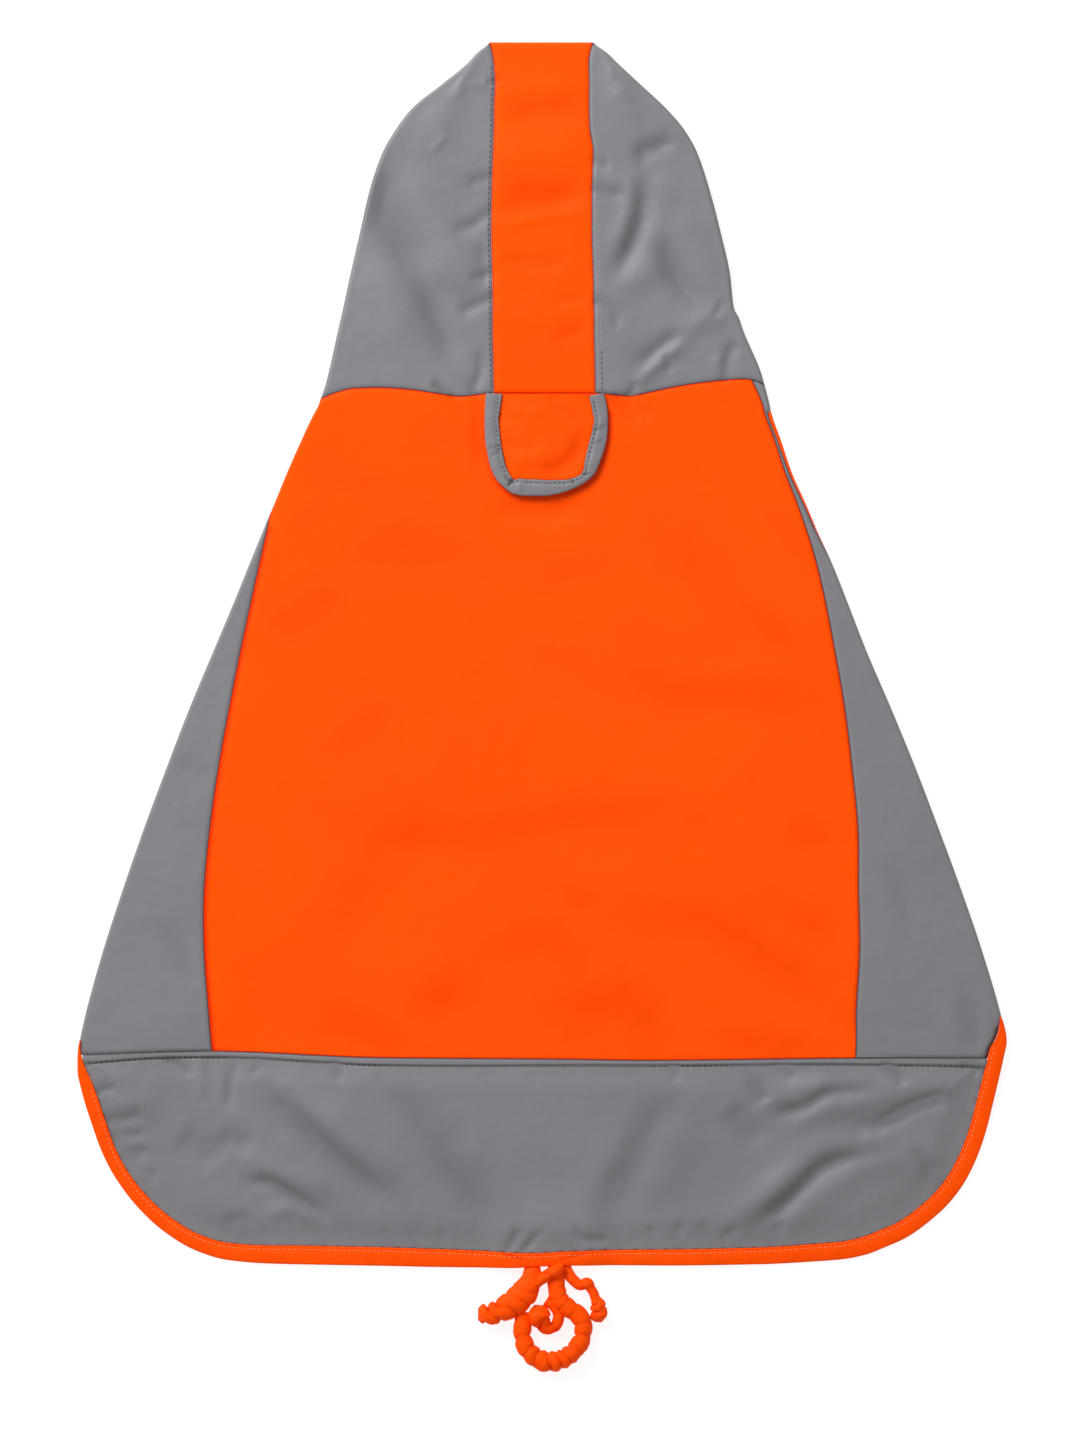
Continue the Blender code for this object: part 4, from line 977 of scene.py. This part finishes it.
def band_shade(x, y):
    """How much painted shade darkens the cloth in its faint bands.

    Each is a bell curve of the distance from its line, and fades over BAND_FADE of the line at both ends.
    """
    dark = np.zeros(x.shape)
    for most, width, *points in SHADE_BANDS:
        line = along(points, BAND_STEPS)
        part = np.linspace(0, 1, BAND_STEPS)
        strength = most * (BAND_ENDS + (1 - BAND_ENDS) * ease(np.minimum(part, 1 - part) / BAND_FADE))
        away = np.hypot(x[..., None] - line[:, 0], y[..., None] - line[:, 1])
        dark = np.maximum(dark, np.max(strength * np.exp(-((away / width) ** 2)), axis=-1))
    return dark


def flap_shade(x, y):
    """The painted shadow under the flap's free edge: a bell curve of the distance from its outline, moved a
    little.
    """
    across, down, width, dark = FLAP_SHADE
    line = along(FLAP_EDGE, FLAP_STEPS)[FLAP_SKIP:-FLAP_SKIP, :2] + (across, down)
    half, low, high = FLAP_ZONE
    near = (np.abs(x) < half) & (y > low) & (y < high)
    shade = np.zeros(x.shape)
    away = np.min(np.hypot(x[near][:, None] - line[:, 0], y[near][:, None] - line[:, 1]), axis=1)
    shade[near] = dark * np.exp(-((away / width) ** 2))
    return shade


print(len(SHADE_BANDS), "faint bands")

# %% [markdown]
# ## The panels
# Back, chest, gores and the hood's sides all come from the same grid function, each with its own seams. The
# back passes under the left fold near the neck, and the chest shows as a sliver past the right gore.


def make_panel(name, cloth, start, end, edge, bottom, top, low, high, columns, spacing, floor=None, skip=0):
    """One panel, from its grid, seam dips and painted shade, as a shell in its solid's place."""
    across, up = panel(start, end, edge, bottom, top, low, high, columns, spacing, floor)
    across, up = across[skip:], up[skip:]
    lowest = floor or bottom
    sunk = dip(across, up, start, end, lowest, top)
    x = beneath(across, up)
    seen = (across > fold("left", up)) & (across < fold("right", up))
    # painted shade at the seams, in the valleys and in the faint bands
    painted_shade = np.maximum(seamed(sunk), seen * np.maximum(shaded(x, up), band_shade(x, up)))
    if name == "back_panel":
        # painted shadow of the leash flap on the back
        painted_shade = np.maximum(painted_shade, seen * flap_shade(x, up))
    if name == "chest_panel":  # what shows of it lies all beside a seam, and is light in the photo
        painted_shade = np.zeros(painted_shade.shape)
    made = shell(name + "_cloth", lambda a, u, depth: laid_cloth(a, u, depth, sunk), across, up, cloth, painted_shade)
    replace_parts(made, name)
    return made


def seam_edge(name, shift):
    """A body seam as a function of the height, moved across by a shift."""
    return lambda up: seam(name, up) + shift


def side_fold(side):
    """A side fold as a function of the height."""
    return lambda up: fold(side, up)


BODY_LOW, BODY_HIGH = -181.0, 166.0
HOOD_LOW = 163.0
make_panel(
    "back_panel", orange, seam_edge("back_left", HALF_GAP), seam_edge("back_right", -HALF_GAP),
    side_fold("left"), hem_line, neck_line, BODY_LOW, BODY_HIGH, (4, 150), 2.2)
make_panel(
    "chest_panel", orange, seam_edge("chest_right", HALF_GAP),
    lambda up: 2 * fold("right", up) - 2 * fold("left", up) + seam("chest_left", up) - HALF_GAP,
    side_fold("right"), hem_line, neck_line, BODY_LOW, BODY_HIGH, (3, 60), 4.0, arch_line, 16)


def gore_under(side):
    """A gore's edge underneath: the chest seam, or the taped edge where that comes first."""
    if side == "left":
        return lambda up: np.maximum(seam("chest_left", up), taped_edge("left", up)) + HALF_GAP
    return lambda up: np.minimum(seam("chest_right", up), taped_edge("right", up)) - HALF_GAP


make_panel(
    "gore_left", grey, gore_under("left"), seam_edge("back_left", -HALF_GAP), side_fold("left"),
    hem_line, neck_line, BODY_LOW, BODY_HIGH, (10, 34), 2.6)
make_panel(
    "gore_right", grey, seam_edge("back_right", HALF_GAP), gore_under("right"), side_fold("right"),
    hem_line, neck_line, BODY_LOW, BODY_HIGH, (34, 10), 2.6)
make_panel(
    "hood_left", grey, lambda up: face_edge("left", up), lambda up: strip_edge("left", up) - HALF_GAP,
    side_fold("left"), hood_line, hood_end, HOOD_LOW, HOOD_SIDE_TOP, (16, 64), 1.5)
make_panel(
    "hood_right", grey, lambda up: strip_edge("right", up) + HALF_GAP, lambda up: face_edge("right", up),
    side_fold("right"), hood_line, hood_end, HOOD_LOW, HOOD_SIDE_TOP, (64, 16), 1.5)

# %% [markdown]
# ## The hood's centre strip
# The strip runs from the neck seam over the top of the hood to the face opening, so its grid is carried
# over that end in the way that the panels go round their side folds.

# %% Hood strip
STRIP_WIDTH = 50.0  # about, to space its columns by
STRIP_BLEND = 12.0  # its rows straighten out over this way from the neck seam


def strip_cloth(across, up, depth, sunk):
    """The strip's map: its lengths past the hood's top go on round the fold and back underneath."""
    y, top = turned(up, HOOD_TOP, (WALL + HOOD_LIFT) / 2, depth)
    height = np.maximum(lift(across, y) + creased(across, y) - sunk, 0)
    return np.stack((across, y, through(WALL + height, top, depth)), axis=-1)


strip_end = 2 * HOOD_TOP - STRIP_END
lengths = HOOD_LOW + spaced(HOOD_TOP - 3 - HOOD_LOW, 2.0)[: -len(SEAM_STEPS)]
lengths = np.concatenate((lengths, HOOD_TOP + TURN, np.linspace(HOOD_TOP + 5, strip_end, 12)))[:, None]
real = np.minimum(lengths, 2 * HOOD_TOP - lengths)
left, right = strip_edge("left", real) + HALF_GAP, strip_edge("right", real) - HALF_GAP
part = spaced(STRIP_WIDTH, 2.2) / STRIP_WIDTH
across = left * (1 - part) + right * part
up = lengths + (neck_up(across) + HALF_GAP - HOOD_LOW) * ease((HOOD_LOW + STRIP_BLEND - lengths) / STRIP_BLEND)
from_edge = np.minimum(np.minimum(across - left, right - across), up - up[0])
sunk = SEAM_DIP * (1 - ease(from_edge / SEAM_DIP_WIDTH))
folded_back = np.minimum(up, 2 * HOOD_TOP - up)
# painted shade at its seams, in its bands and in its valleys
painted_shade = np.maximum(np.maximum(seamed(sunk), band_shade(across, up)), shaded(across, folded_back))
strip = shell("hood_centre_cloth", lambda a, u, depth: strip_cloth(a, u, depth, sunk), across, up, orange,
              painted_shade)
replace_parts(strip, "hood_centre")

# %% [markdown]
# ## The hem panel
# The deep grey panel under the hem seam is one layer that rests on the table. It is drawn up by its seam
# and its tape into troughs and short puckers. Its upper edge is a raised welt, held down by a row of
# topstitching.

# %% Hem panel
WELT_WIDTH = smooth((  # from the seam to the topstitching, by the place across
    (-237.0, 4.8), (-225.0, 4.2), (-200.0, 3.2), (-130.0, 3.7), (-60.0, 4.3), (0.0, 3.8), (60.0, 3.1),
    (120.0, 3.3), (180.0, 3.8), (215.0, 4.3), (236.0, 5.2)))
WELT_STEPS = (0.0, 0.4, 0.9, 1.5, 2.1, 2.6, 3.0, 3.3, 3.6, 3.9, 4.2, 4.5, 4.8, 5.2, 5.7, 6.4, 7.4)
WELT_RISE = 1.0
WELT_GROOVE = 0.4  # how far the topstitching pulls it down
RUMP_PUFF = 1.3
TAPE_DIP = 0.5  # how far the panel sinks where it goes into its tape


def between(edge, top, rows):
    """A grid from an edge's points to a line over its ends: rows give the part of the way up."""
    part = np.linspace(0, 1, len(edge))
    top_x = edge[0, 0] * (1 - part) + edge[-1, 0] * part
    rows = np.asarray(rows)[:, None]
    return edge[:, 0] * (1 - rows) + top_x * rows, edge[:, 1] * (1 - rows) + top(top_x) * rows


below = hem_bound[:, 1] < hem_seam_up(hem_bound[:, 0]) - 1.6
edge = along(hem_bound[below], 300)
rows = np.concatenate((SEAM_STEPS, np.linspace(4.8, 91.0, 58), 100 - np.array(WELT_STEPS[::-1]))) / 100
x, y = between(edge, lambda x: hem_seam_up(x) - HALF_GAP, rows)
seam_way = hem_seam_up(x) - y
tape_way = np.min(np.hypot(x[..., None] - edge[::4, 0], y[..., None] - edge[::4, 1]), axis=-1)
inside = np.minimum(seam_way, tape_way)
past = seam_way - WELT_WIDTH(x)
welt = WELT_RISE * ease(seam_way / 0.7) * (1 - ease((past + 1.2) / 1.1))
welt = welt - WELT_GROOVE * np.exp(-((past / 0.6) ** 2))
puff = RUMP_PUFF * ease((inside - 3) / 14)
taken_in = TAPE_DIP * (1 - ease(tape_way / SEAM_DIP_WIDTH))
height = np.maximum(lift(x, y) + puff + creased(x, y) * ease(tape_way / 4) + welt - taken_in, 0)


def welt_height(x, y):
    """The panel's face under the topstitching."""
    return WALL + lift(x, y) + creased(x, y) - 0.22


def rump_cloth(x, y, depth):
    """The hem panel's map: one layer at its own height."""
    return np.stack((x, y, WALL + height - depth), axis=-1)


# painted shade beside the seam and the tape, along the welt's lower edge, in the valleys and in the bands
beside = 1 - ease(np.minimum(tape_way, seam_way) / 0.9)
welt_shade = 0.15 * np.exp(-(((past + 0.3) / 0.5) ** 2))
painted_shade = np.maximum(np.maximum(SEAM_DARK * beside, welt_shade), np.maximum(shaded(x, y), band_shade(x, y)))
rump = shell("rump_panel_cloth", rump_cloth, x, y, grey, painted_shade)
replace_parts(rump, "rump_panel")

# %% [markdown]
# ## Bias tape
# Tape folded over a raw edge is a soft flattened tube: round at its free edge, nearly flat over the seam,
# with a shallow groove where the stitches pull it down. It is drawn as a closed section carried along the
# edge.

# %% Tape
HEM_PINCHES = (
    (-0.6, 0.7, (-19.0, -283.2), (-13.0, -284.8), (-5.0, -287.4)),
    (-0.5, 0.8, (24.0, -282.6), (16.0, -284.6), (8.0, -287.0)),
    (-0.4, 0.9, (-2.0, -283.0), (1.0, -285.4), (2.0, -288.6)),
)
TAPE_ROUND = 0.55  # the round edge's half width, as a part of the thickness
TAPE_CROWN = 0.35  # how far the leaf swells between its edges
TAPE_GROOVE = (1.9, 0.8)  # the stitches' groove: how far from the inner edge, and how wide
PINCH_DEPTH = 0.6


def taped(name, path, widths, base, cloth, ripple, groove, pinches=()):
    """A closed section along a path: half an ellipse at the free edge, then flat leaves to the inner edge."""
    turn = np.linspace(-math.pi / 2, math.pi / 2, 9)
    soft = np.minimum(TAPE_THICK * TAPE_ROUND, widths / 2)[:, None]
    round_in = soft * (1 - np.cos(turn))
    round_up = np.broadcast_to(TAPE_THICK / 2 * (1 + np.sin(turn)), round_in.shape)
    flat = np.linspace(0, 1, 13)[1:]
    leaf = soft + (widths[:, None] - soft) * flat
    from_seam = widths[:, None] - leaf
    dent = groove * np.exp(-(((from_seam - TAPE_GROOVE[0]) / TAPE_GROOVE[1]) ** 2))
    crown = TAPE_CROWN * np.sin(np.pi * flat) - dent
    inset = np.concatenate((leaf[:, ::-1], round_in, leaf), axis=1)
    rise = np.concatenate((np.zeros(leaf.shape), round_up, TAPE_THICK + crown), axis=1)
    flat_place = path[:, None, :] + sideways(path)[:, None, :] * inset[..., None]
    way = way_along(path)[:, None]
    on_top = rise > TAPE_THICK / 2
    wave = ripple * (np.sin(way / 2.3 + 1.7 * np.sin(way / 9.1)) + 0.6 * np.sin(way / 5.3 + 0.9)) * on_top
    across, up = flat_place[..., 0], flat_place[..., 1]
    pinched = sum((crease(across, up, *row) for row in pinches), np.zeros(inset.shape)) * on_top
    z = base(across, up) + rise + wave * np.minimum(inset / 3, 1) + PINCH_DEPTH * pinched
    rings = np.concatenate((flat_place, z[..., None]), axis=-1)[:, ::-1]
    pattern = np.stack((np.broadcast_to(way, inset.shape), inset), axis=-1)[:, ::-1]
    # painted shade in the tape's pinches
    return tube(name, rings, pattern, cloth, np.clip(-pinched / 1.6, 0, 0.8)[:, ::-1])


def finer(path, widths, count):
    """The same path and widths at more places along it."""
    way = way_along(path)
    places = np.linspace(0, way[-1], count)
    return along(path, count), smooth(np.column_stack((way, widths)))(places)


hem_fine, hem_fine_width = finer(hem_path, hem_width, 620)
hem = taped("hem_binding_tape", hem_fine, hem_fine_width, lift, orange, 0.10, 0.3, HEM_PINCHES)
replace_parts(hem, "hem_binding")
arch_fine, arch_fine_width = finer(arch_path[1:-1], arch_width[1:-1], 300)
arch = taped("arch_binding_tape", arch_fine, arch_fine_width, lambda x, y: 0 * x, orange, 0.0, 0.0)
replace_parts(arch, "arch_binding")
print("tape:", len(hem.data.vertices), "points at the hem and", len(arch.data.vertices), "at the arch")

# %% [markdown]
# ## The leash flap
# A small round-ended flap is sewn in at the neck only, so its free end stands a little off the back. What
# it covers is hidden, and nothing is made there. Its tape pinches where it turns the lower corners.

# %% Leash flap
FLAP_TOP = 162.3
FLAP_CORNER = 1.0  # the flap's side edges end this far under its top edge
FLAP_GAP = 0.1  # beside its tape
FLAP_RISE = 1.6  # how far its free end stands off the back
FLAP_LENGTH = 55.0
FLAP_PUFF = 0.9
FLAP_DIP = 0.3  # how far it sinks where it goes into its tape
FLAP_PINCHES = (  # creases of its tape, as in the tables of creases above
    (-1.0, 0.8, (-14.2, 117.9), (-15.4, 116.0), (-17.6, 114.2)),
    (-0.6, 0.6, (-15.6, 117.0), (-17.4, 118.4), (-19.0, 120.6)),
    (-0.7, 0.6, (22.0, 121.0), (24.0, 120.8), (25.8, 121.6)),
    (-0.6, 0.6, (15.4, 118.4), (16.6, 117.0), (17.6, 115.0)),
    (-0.35, 1.4, (-21.0, 135.4), (-24.5, 134.8), (-27.8, 135.2)),
    (-0.35, 1.3, (-21.0, 133.0), (-24.0, 131.2), (-26.0, 130.4)),
    (-0.35, 1.3, (28.0, 143.4), (31.0, 144.8), (34.6, 146.4)),
    (-0.35, 1.3, (28.6, 137.0), (31.4, 138.2), (34.0, 139.2)),
    (0.3, 1.6, (-10.0, 118.0), (-11.0, 114.0), (-11.6, 110.8)),
)
FLAP_CREASES = (
    (0.5, 4.0, (-22, 154), (-8, 152), (12, 157)),
    (-0.5, 3.0, (-21, 151), (-14, 150), (-4, 151)),
    (-0.6, 3.0, (6, 160), (12, 153), (24, 149)),
    (-0.9, 4.5, (-4, 121), (8, 124), (18, 132), (23, 146)),
    (0.6, 5.0, (-16, 128), (-4, 130), (8, 138)),
    (-0.4, 3.0, (-18, 137), (-8, 134), (4, 135)),
)


def flap_base(x, y):
    """The height of the flap's underside: on the back at the neck, a little off it at its end."""
    return WALL + lift(x, y) + SEAM_GAP + FLAP_RISE * ease((FLAP_TOP - y) / FLAP_LENGTH)


flap_rows = along(FLAP_EDGE, 260)
flap_path, flap_widths = flap_rows[:, :2], flap_rows[:, 2]
flap_tape = taped("flap_binding_tape", flap_path, flap_widths, flap_base, grey, 0.12, 0.35, FLAP_PINCHES)
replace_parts(flap_tape, "flap_binding")
beside = flap_path + sideways(flap_path) * (flap_widths + FLAP_GAP)[:, None]
edge = along(beside[beside[:, 1] < FLAP_TOP - FLAP_CORNER], 160)
rows = spaced(50.0, 1.5) / 50.0
x, y = between(edge, lambda x: FLAP_TOP + 0 * x, rows)
flap_way = np.min(np.hypot(x[..., None] - edge[::3, 0], y[..., None] - edge[::3, 1]), axis=-1)
flap_height = flap_base(x, y) + FLAP_PUFF * ease(flap_way / 12) - FLAP_DIP * (1 - ease(flap_way / 1.5))
flap_creases = sum(crease(x, y, *row) for row in FLAP_CREASES)
flap_height = flap_height + flap_creases


def flap_cloth(x, y, depth):
    """The flap's map: one layer at its own height."""
    return np.stack((x, y, WALL + flap_height - depth), axis=-1)


# painted shade in the flap's troughs and where it goes into its tape
flap = shell("leash_flap_cloth", flap_cloth, x, y, orange,
             np.clip(-flap_creases / 8 + 0.3 * (1 - ease(flap_way / 1.2)), 0, 0.6))
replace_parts(flap, "leash_flap")

# %% [markdown]
# ## The leg loops
# Each loop is a sleeve of the orange cloth over elastic. Pulled in, it bunches into round lobes with deep
# creases between, which lean to one side or the other. The section's size follows the absolute sine of the
# way along, so the lobes are round and the creases sharp, and the creases' place shifts round the section.

# %% Leg loops
# The leg loops: how many gathers each has, how deep they are, how far they lean, where along the strand they
# are deepest, and the strand's middle as (across, up, half width, half height)
GATHER_START = 0.1  # the gathers come in over this part of a strand
GATHER_SPREAD = 0.26
LOOPS = {
    "leg_loop_ring": (16, 0.4, 0.22, 0.66, (
        (8.0, -286.5, 3.4, 1.5), (7.9, -292.0, 4.4, 2.5), (8.3, -300.3, 4.7, 4.0), (9.7, -306.1, 4.8, 4.4),
        (14.1, -310.9, 5.0, 4.7), (19.6, -314.9, 5.0, 4.8), (22.3, -320.0, 4.8, 5.0), (21.8, -325.8, 4.8, 5.0),
        (19.2, -331.2, 5.0, 5.0), (15.9, -334.7, 5.1, 5.0), (10.5, -337.9, 5.4, 5.0), (4.4, -339.1, 5.7, 5.0),
        (-1.2, -337.6, 5.5, 5.0), (-5.4, -334.2, 5.1, 5.0), (-8.5, -329.4, 5.0, 4.7), (-9.4, -323.6, 4.9, 4.4),
        (-9.2, -318.0, 4.6, 4.0), (-8.2, -313.4, 4.0, 3.2),
    )),
    "leg_loop_right": (7, 0.4, 0.6, 0.9, (
        (12.4, -286.5, 2.4, 1.4), (13.9, -292.3, 3.0, 2.2), (17.0, -296.7, 3.0, 2.9), (20.7, -299.4, 2.8, 3.1),
        (24.0, -298.6, 3.2, 3.5), (26.6, -302.0, 2.6, 3.0), (28.3, -305.6, 2.6, 3.0), (29.8, -309.6, 4.2, 3.9),
        (30.2, -313.6, 4.6, 4.1), (29.6, -316.8, 4.0, 3.4), (29.4, -318.6, 2.4, 2.2),
    )),
    "leg_loop_left": (6, 0.42, 1.2, 0.88, (
        (-4.6, -286.5, 3.6, 1.5), (-4.2, -292.0, 4.6, 2.6), (-5.6, -298.2, 6.0, 4.2), (-9.2, -304.2, 7.4, 5.0),
        (-14.3, -308.8, 7.2, 5.4), (-20.1, -312.0, 6.5, 5.2), (-25.2, -314.0, 6.0, 4.8),
        (-29.6, -314.4, 5.6, 4.2), (-32.4, -314.4, 3.2, 2.8),
    )),
    "leg_loop_bundle": (4, 0.2, 0.4, 0.7, (
        (2.8, -307.5, 2.8, 2.4), (7.4, -310.6, 3.0, 3.0), (9.4, -315.6, 3.0, 3.2), (7.6, -321.0, 3.0, 3.0),
        (3.8, -321.8, 3.4, 3.2), (1.0, -319.0, 4.8, 4.2), (-0.6, -315.2, 6.0, 5.2), (-0.4, -312.0, 5.0, 4.4),
        (-0.2, -310.0, 3.0, 2.8),
    )),
}
RING_SPACING = 0.22
RING_POINTS = 48
GATHER_POWER = 0.6  # under 1, so the lobes are round and the creases sharp
SECOND_CREASE = 0.12  # finer creases between, as a part of the depth


def ruched(name, gathers, depth, lean, deepest, rows):
    """An oval section along a strand, drawn in at its gathers.

    Its size is 1 less the depth times a crease, and a crease is 1 less the size of a sine to GATHER_POWER.
    """
    length = way_along(np.asarray(rows))[-1]
    count = int(length / RING_SPACING)
    middle = along(rows, count)
    place = np.linspace(0, 1, count)[:, None]
    angle = np.linspace(0, 2 * np.pi, RING_POINTS, endpoint=False)[None, :]
    uneven = place + 0.016 * np.sin(2 * np.pi * 2.3 * place + gathers)
    uneven = uneven + 0.009 * np.sin(2 * np.pi * 5.1 * place)
    phase = np.pi * gathers * uneven + lean * np.cos(angle) + 0.3 * np.sin(2 * angle + 9 * place)
    crease_in = (1 - np.abs(np.sin(phase)) ** GATHER_POWER) * (0.75 + 0.25 * np.sin(7.3 * place * gathers))
    second = 1 - np.abs(np.sin(2.1 * phase + 1.6 * np.cos(angle + 4 * place))) ** GATHER_POWER
    drawn_in = (0.3 + 0.7 * np.exp(-(((place - deepest) / GATHER_SPREAD) ** 2))) * ease(place / GATHER_START)
    gather = 1 - (depth * crease_in + SECOND_CREASE * depth * second) * drawn_in
    wide = middle[:, 2:3] * gather * np.cos(angle)
    high = middle[:, 3:4] * (1 + np.sin(angle) * gather)
    flat = middle[:, None, :2] + sideways(middle)[:, None, :] * wide[..., None]
    rings = np.concatenate((flat, np.maximum(high, 0)[..., None]), axis=-1)
    pattern = np.stack(np.broadcast_arrays(place * length, angle * 5), axis=-1)
    # painted shade in the creases between the lobes
    made = tube(name + "_cloth", rings, pattern, orange, np.broadcast_to(drawn_in * crease_in**2, wide.shape))
    return made


for name, row in LOOPS.items():
    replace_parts(ruched(name, *row), name)
ruched("leg_loop_crossing", 2, 0.16, 0.5, 0.6, (
    (11.4, -288.6, 2.6, 4.4), (7.4, -292.0, 3.2, 5.2), (2.0, -295.0, 3.2, 5.0), (-2.2, -299.0, 2.4, 4.2)))

# %% [markdown]
# ## Stitches
# A stitch is a short thread that dips into the cloth at both ends. One oval shape of a few dozen faces is
# repeated along each seam that shows its sewing.

# %% Stitches
STITCH_RINGS, STITCH_POINTS = 7, 6


def stitched(name, path, height, thread, pitch=2.6, length=1.8, radius=0.24):
    """Ovals along a path, one for each pitch, whose section shrinks and sinks towards both ends."""
    way = way_along(path)
    places = np.arange(pitch, way[-1] - pitch, pitch)
    at = np.column_stack([np.interp(places, way, value) for value in path[:, :2].T])
    ahead = np.column_stack([np.interp(places + 0.5, way, value) for value in path[:, :2].T]) - at
    ahead /= np.linalg.norm(ahead, axis=1, keepdims=True)
    side = np.column_stack((-ahead[:, 1], ahead[:, 0]))
    part = np.linspace(-1, 1, STITCH_RINGS)[:, None]
    angle = np.linspace(0, 2 * np.pi, STITCH_POINTS, endpoint=False)
    size = radius * np.sqrt(np.maximum(1 - part**2, 0.04))
    run, out, rise = np.broadcast_arrays(
        part * length / 2, size * np.cos(angle), size * np.sin(angle) - 0.12 * part**2)
    flat = at[:, None, None] + ahead[:, None, None] * run[..., None] + side[:, None, None] * out[..., None]
    z = height(at[:, 0], at[:, 1])[:, None, None] + rise
    points = np.concatenate((flat, z[..., None]), axis=-1)
    last = STITCH_POINTS * (STITCH_RINGS - 1)
    first_end = ((3, 2, 1, 0), (5, 4, 3, 0))
    last_end = ((last, last + 1, last + 2, last + 3), (last, last + 3, last + 4, last + 5))
    one = np.concatenate((grid_faces(STITCH_RINGS, STITCH_POINTS, closed=True), first_end, last_end))
    faces = (one + STITCH_RINGS * STITCH_POINTS * np.arange(len(places))[:, None, None]).reshape(-1, 4)
    print(name, len(places), "stitches")
    return new_piece(name, points, faces, np.zeros((points.size // 3, 2)), thread, merge=False)


def upper(x, y):
    """The creased upper layer's outer face."""
    return WALL + lift(x, y) + creased(x, y)


def upright(function, low, high):
    """A path up a seam, from its place across at each height."""
    heights = np.linspace(low, high, 200)
    return np.column_stack((function(heights), heights))


def inset(path, widths, way_in):
    """A line inside a tape, that far from its inner edge."""
    return path + sideways(path) * (widths - way_in)[:, None]


def on_hem(x, y):
    """The face of the hem's tape."""
    return lift(x, y) + TAPE_THICK + 0.12


def on_flap(x, y):
    """The face of the flap's tape."""
    return flap_base(x, y) + TAPE_THICK + 0.1


welt_x = np.linspace(-236.5, 236.0, 500)
welt_path = np.column_stack((welt_x, hem_seam_up(welt_x) - WELT_WIDTH(welt_x)))
whole = hem_fine_width > 6.5
sewn = {
    "hood_left": [stitched("hood_stitches_left", upright(lambda up: strip_edge("left", up) - 1.6, 164, 336),
                           lambda x, y: upper(x, y) - 0.08, dark_thread, 2.7, 1.5, 0.28)],
    "hood_right": [
        stitched("hood_stitches_right", upright(lambda up: strip_edge("right", up) + 3.4, 187, 270), upper,
                 grey_thread),
        stitched("hood_stitches_right_low", upright(lambda up: strip_edge("right", up) + 3.6, 163, 187), upper,
                 dark_thread)],
    "rump_panel": [
        stitched("hem_topstitches", welt_path, welt_height, dark_thread, 2.9, 2.0, 0.3),
        stitched("hem_binding_stitches", inset(hem_fine[whole], hem_fine_width[whole], TAPE_GROOVE[0]), on_hem,
                 orange_thread)],
    "leash_flap": [
        stitched("flap_binding_stitches", inset(flap_path, flap_widths, 1.4), on_flap, dark_thread, 2.4, 1.1)],
}
sewn["rump_panel"].append(hem)
sewn["leash_flap"].append(flap_tape)
sewn["chest_panel"] = [arch]

# %% [markdown]
# ## Floor and light
# The coat was photographed on white with one large soft light at the upper left and bright walls all round,
# so shadows are short and pale. A round softbox stands for the light, and a nearly white world for the
# walls.

# %% Floor and light
floor_mesh = bpy.data.meshes.new("floor")
floor_mesh.from_pydata([(-4, -4, 0), (4, -4, 0), (4, 4, 0), (-4, 4, 0)], [], [(0, 1, 2, 3)])
floor_cloth, floor_tree, floor_output = new_material("white paper")
paper = add(floor_tree, "ShaderNodeBsdfPrincipled", {}, {
    "Base Color": linear("#8A8A8A"), "Roughness": 0.9, "Specular IOR Level": 0.1,
    "Emission Color": (1, 1, 1, 1), "Emission Strength": 0.82})
floor_tree.links.new(paper.outputs[0], floor_output.inputs["Surface"])
floor_mesh.materials.append(floor_cloth)
floor = bpy.data.objects.new("floor", floor_mesh)
floor.location.z = -0.0002
bpy.context.scene.collection.objects.link(floor)

KEY_FROM = Vector((-0.54, 0.66, 0.62)).normalized()
KEY_AWAY = 2.2  # metres, so its light falls off a little towards the lower right
key_data = bpy.data.lights.new("softbox", "AREA")
key_data.shape = "DISK"
key_data.size = 1.2
key_data.energy = 53
key = bpy.data.objects.new("softbox", key_data)
key.location = KEY_FROM * KEY_AWAY
key.rotation_euler = KEY_FROM.to_track_quat("Z", "Y").to_euler()
bpy.context.scene.collection.objects.link(key)
world = bpy.data.worlds.new("bright walls")
world.use_nodes = True
world.node_tree.nodes.clear()
sky = add(world.node_tree, "ShaderNodeBackground", {}, {"Color": (1, 1, 1, 1), "Strength": 0.6})
world_output = world.node_tree.nodes.new("ShaderNodeOutputWorld")
world.node_tree.links.new(sky.outputs[0], world_output.inputs["Surface"])
bpy.context.scene.world = world
bpy.context.scene.view_settings.view_transform = "Standard"
print("softbox", key_data.size, "m across,", KEY_AWAY, "m away")
